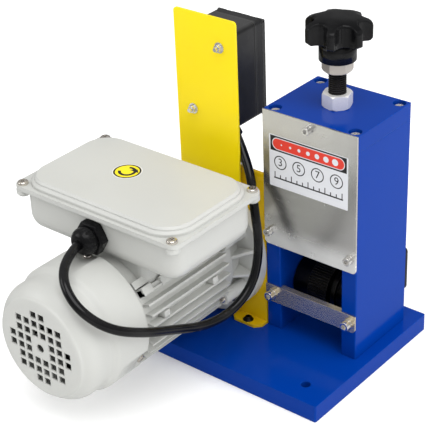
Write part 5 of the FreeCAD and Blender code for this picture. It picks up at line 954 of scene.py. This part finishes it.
def coil_point(turn):
    """Where the coil is after so many turns."""
    if turn <= coil_turns:
        radius, level = coil_outer - coil_step * turn, 1.0
    elif turn <= coil_turns + 0.5:
        share = (turn - coil_turns) / 0.5
        radius = coil_outer - coil_step * coil_turns - coil_step * 0.5 * share * (1 - share)
        level = 1 - share * share * (3 - 2 * share)
    else:
        radius, level = coil_outer - coil_step * (coil_end - turn), 0.0
    angle = math.pi - 2 * math.pi * turn
    return Vector((coil_centre[0] + radius * math.cos(angle), coil_centre[1] + radius * math.sin(angle),
                   mains_diameter / 2 + coil_step * level))


def coil_straight(turn, other):
    """The short straight end of the coil, along its tangent."""
    way = (coil_point(turn) - coil_point(other)).normalized()
    return coil_point(turn) + way * mains_diameter


little_turn = 0.001
coil_way_out = coil_straight(coil_end, coil_end - little_turn)
mains_route = [
    (-0.0463, 0.0150, 0.1885), (-0.0455, 0.0170, 0.1700), (-0.0400, 0.0270, 0.1500),
    (-0.0380, 0.0500, 0.1340), (-0.0470, 0.0770, 0.1140), (-0.0590, 0.0980, 0.0910),
    (-0.0710, 0.1160, 0.0650), (-0.0850, 0.1390, 0.0375), (-0.0950, 0.1650, 0.0165),
    coil_straight(0.0, little_turn),
]
mains_route += [coil_point(step / points_to_a_turn) for step in range(int(coil_end * points_to_a_turn) + 1)]
mains_route += [
    coil_way_out, coil_way_out + Vector((0.0005, -0.0230, 0.0)), (0.0035, 0.1460, mains_diameter / 2),
    (-0.0170, 0.1250, 0.0090), (-0.0460, 0.1210, 0.0100),
]
mains_cord = cord_curve("mains_cord", mains_route, mains_diameter, cable_black)
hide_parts("mains_lead", "mains_coil", "mains_tail")

# %% [markdown]
# ## Floor and light
# The picture was lit evenly from all sides, over a white ground. A wide soft sun makes the
# gentle shade, a pale sky fills it, and two large panels brighten the sides. Only the left one
# shows in what is glossy, so that the blue plates keep their depth. Mirrors and gloss see a
# greyer studio than the eye does, as they would in a real room.

# %% Floor
def studio_floor():
    mesh = bpy.data.meshes.new("floor")
    half = 4.0
    level = -0.0004
    corners = [(x * half, y * half, level) for x, y in ((-1, -1), (1, -1), (1, 1), (-1, 1))]
    mesh.from_pydata(corners, [], [(0, 1, 2, 3)])
    f = Finish("floor_white")
    path = f.add("ShaderNodeLightPath", out="Is Glossy Ray")
    side = f.part("X").eased(-0.3, 0.5, 0.22, 0.55)
    grey = f.add("ShaderNodeCombineXYZ", {}, {0: side, 1: side, 2: side})
    tone = f.mix(path, (0.93, 0.93, 0.93), grey)
    mesh.materials.append(f.surface(tone, 0.9, Emission_Color=(1.0, 1.0, 1.0, 1.0),
                                    Emission_Strength=0.12, Specular_IOR_Level=0.0))
    floor = bpy.data.objects.new("floor", mesh)
    scene.collection.objects.link(floor)
    return floor


floor = studio_floor()

# %% Sky
world = bpy.data.worlds.new("studio")
scene.world = world
world.use_nodes = True
sky = Tree(world.node_tree)
sky.tree.nodes.clear()
way = sky.add("ShaderNodeTexCoord", out="Generated")
height = sky.add("ShaderNodeSeparateXYZ", {}, {0: way}, out=2)
east = sky.add("ShaderNodeSeparateXYZ", {}, {0: way}, out=0)
glow = height.eased(-0.1, 0.9, 0.34, 0.80) + east.eased(0.0, 1.0, 0.0, 0.25)
gloss_ray = sky.add("ShaderNodeLightPath", out="Is Glossy Ray")
eye_ray = sky.add("ShaderNodeLightPath", out="Is Camera Ray")
gloss_loss = 0.35
strength = glow * (1 - gloss_ray * gloss_loss)
strength = strength * (1 - eye_ray) + eye_ray * 1.0
background = sky.add("ShaderNodeBackground", {}, {"Color": (1.0, 1.0, 1.0, 1.0), "Strength": strength})
sky.add("ShaderNodeOutputWorld", {}, {"Surface": background})
print("sky nodes", len(sky.tree.nodes))

# %% Lights
def light(name, kind, energy, place, towards, **settings):
    lamp = bpy.data.lights.new(name, kind)
    lamp.energy = energy
    for key, value in settings.items():
        setattr(lamp, key, value)
    made = bpy.data.objects.new(name, lamp)
    made.location = place
    made.rotation_euler = (Vector(towards) - Vector(place)).to_track_quat("-Z", "Y").to_euler()
    scene.collection.objects.link(made)
    return made


light("soft_sun", "SUN", 1.6, (0.5, -0.5, 2.0), (0.0, 0.0, 0.0), angle=math.radians(50))
right_panel = light("right_panel", "AREA", 10.0, (1.5, 0.2, 0.9), (0.0, 0.0, 0.1),
                    shape="RECTANGLE", size=1.2, size_y=0.9)
right_panel.visible_glossy = False
light("left_panel", "AREA", 5.5, (-1.3, -1.2, 1.0), (-0.05, -0.1, 0.1),
      shape="RECTANGLE", size=1.0, size_y=0.8)
scene.view_settings.view_transform = "Standard"
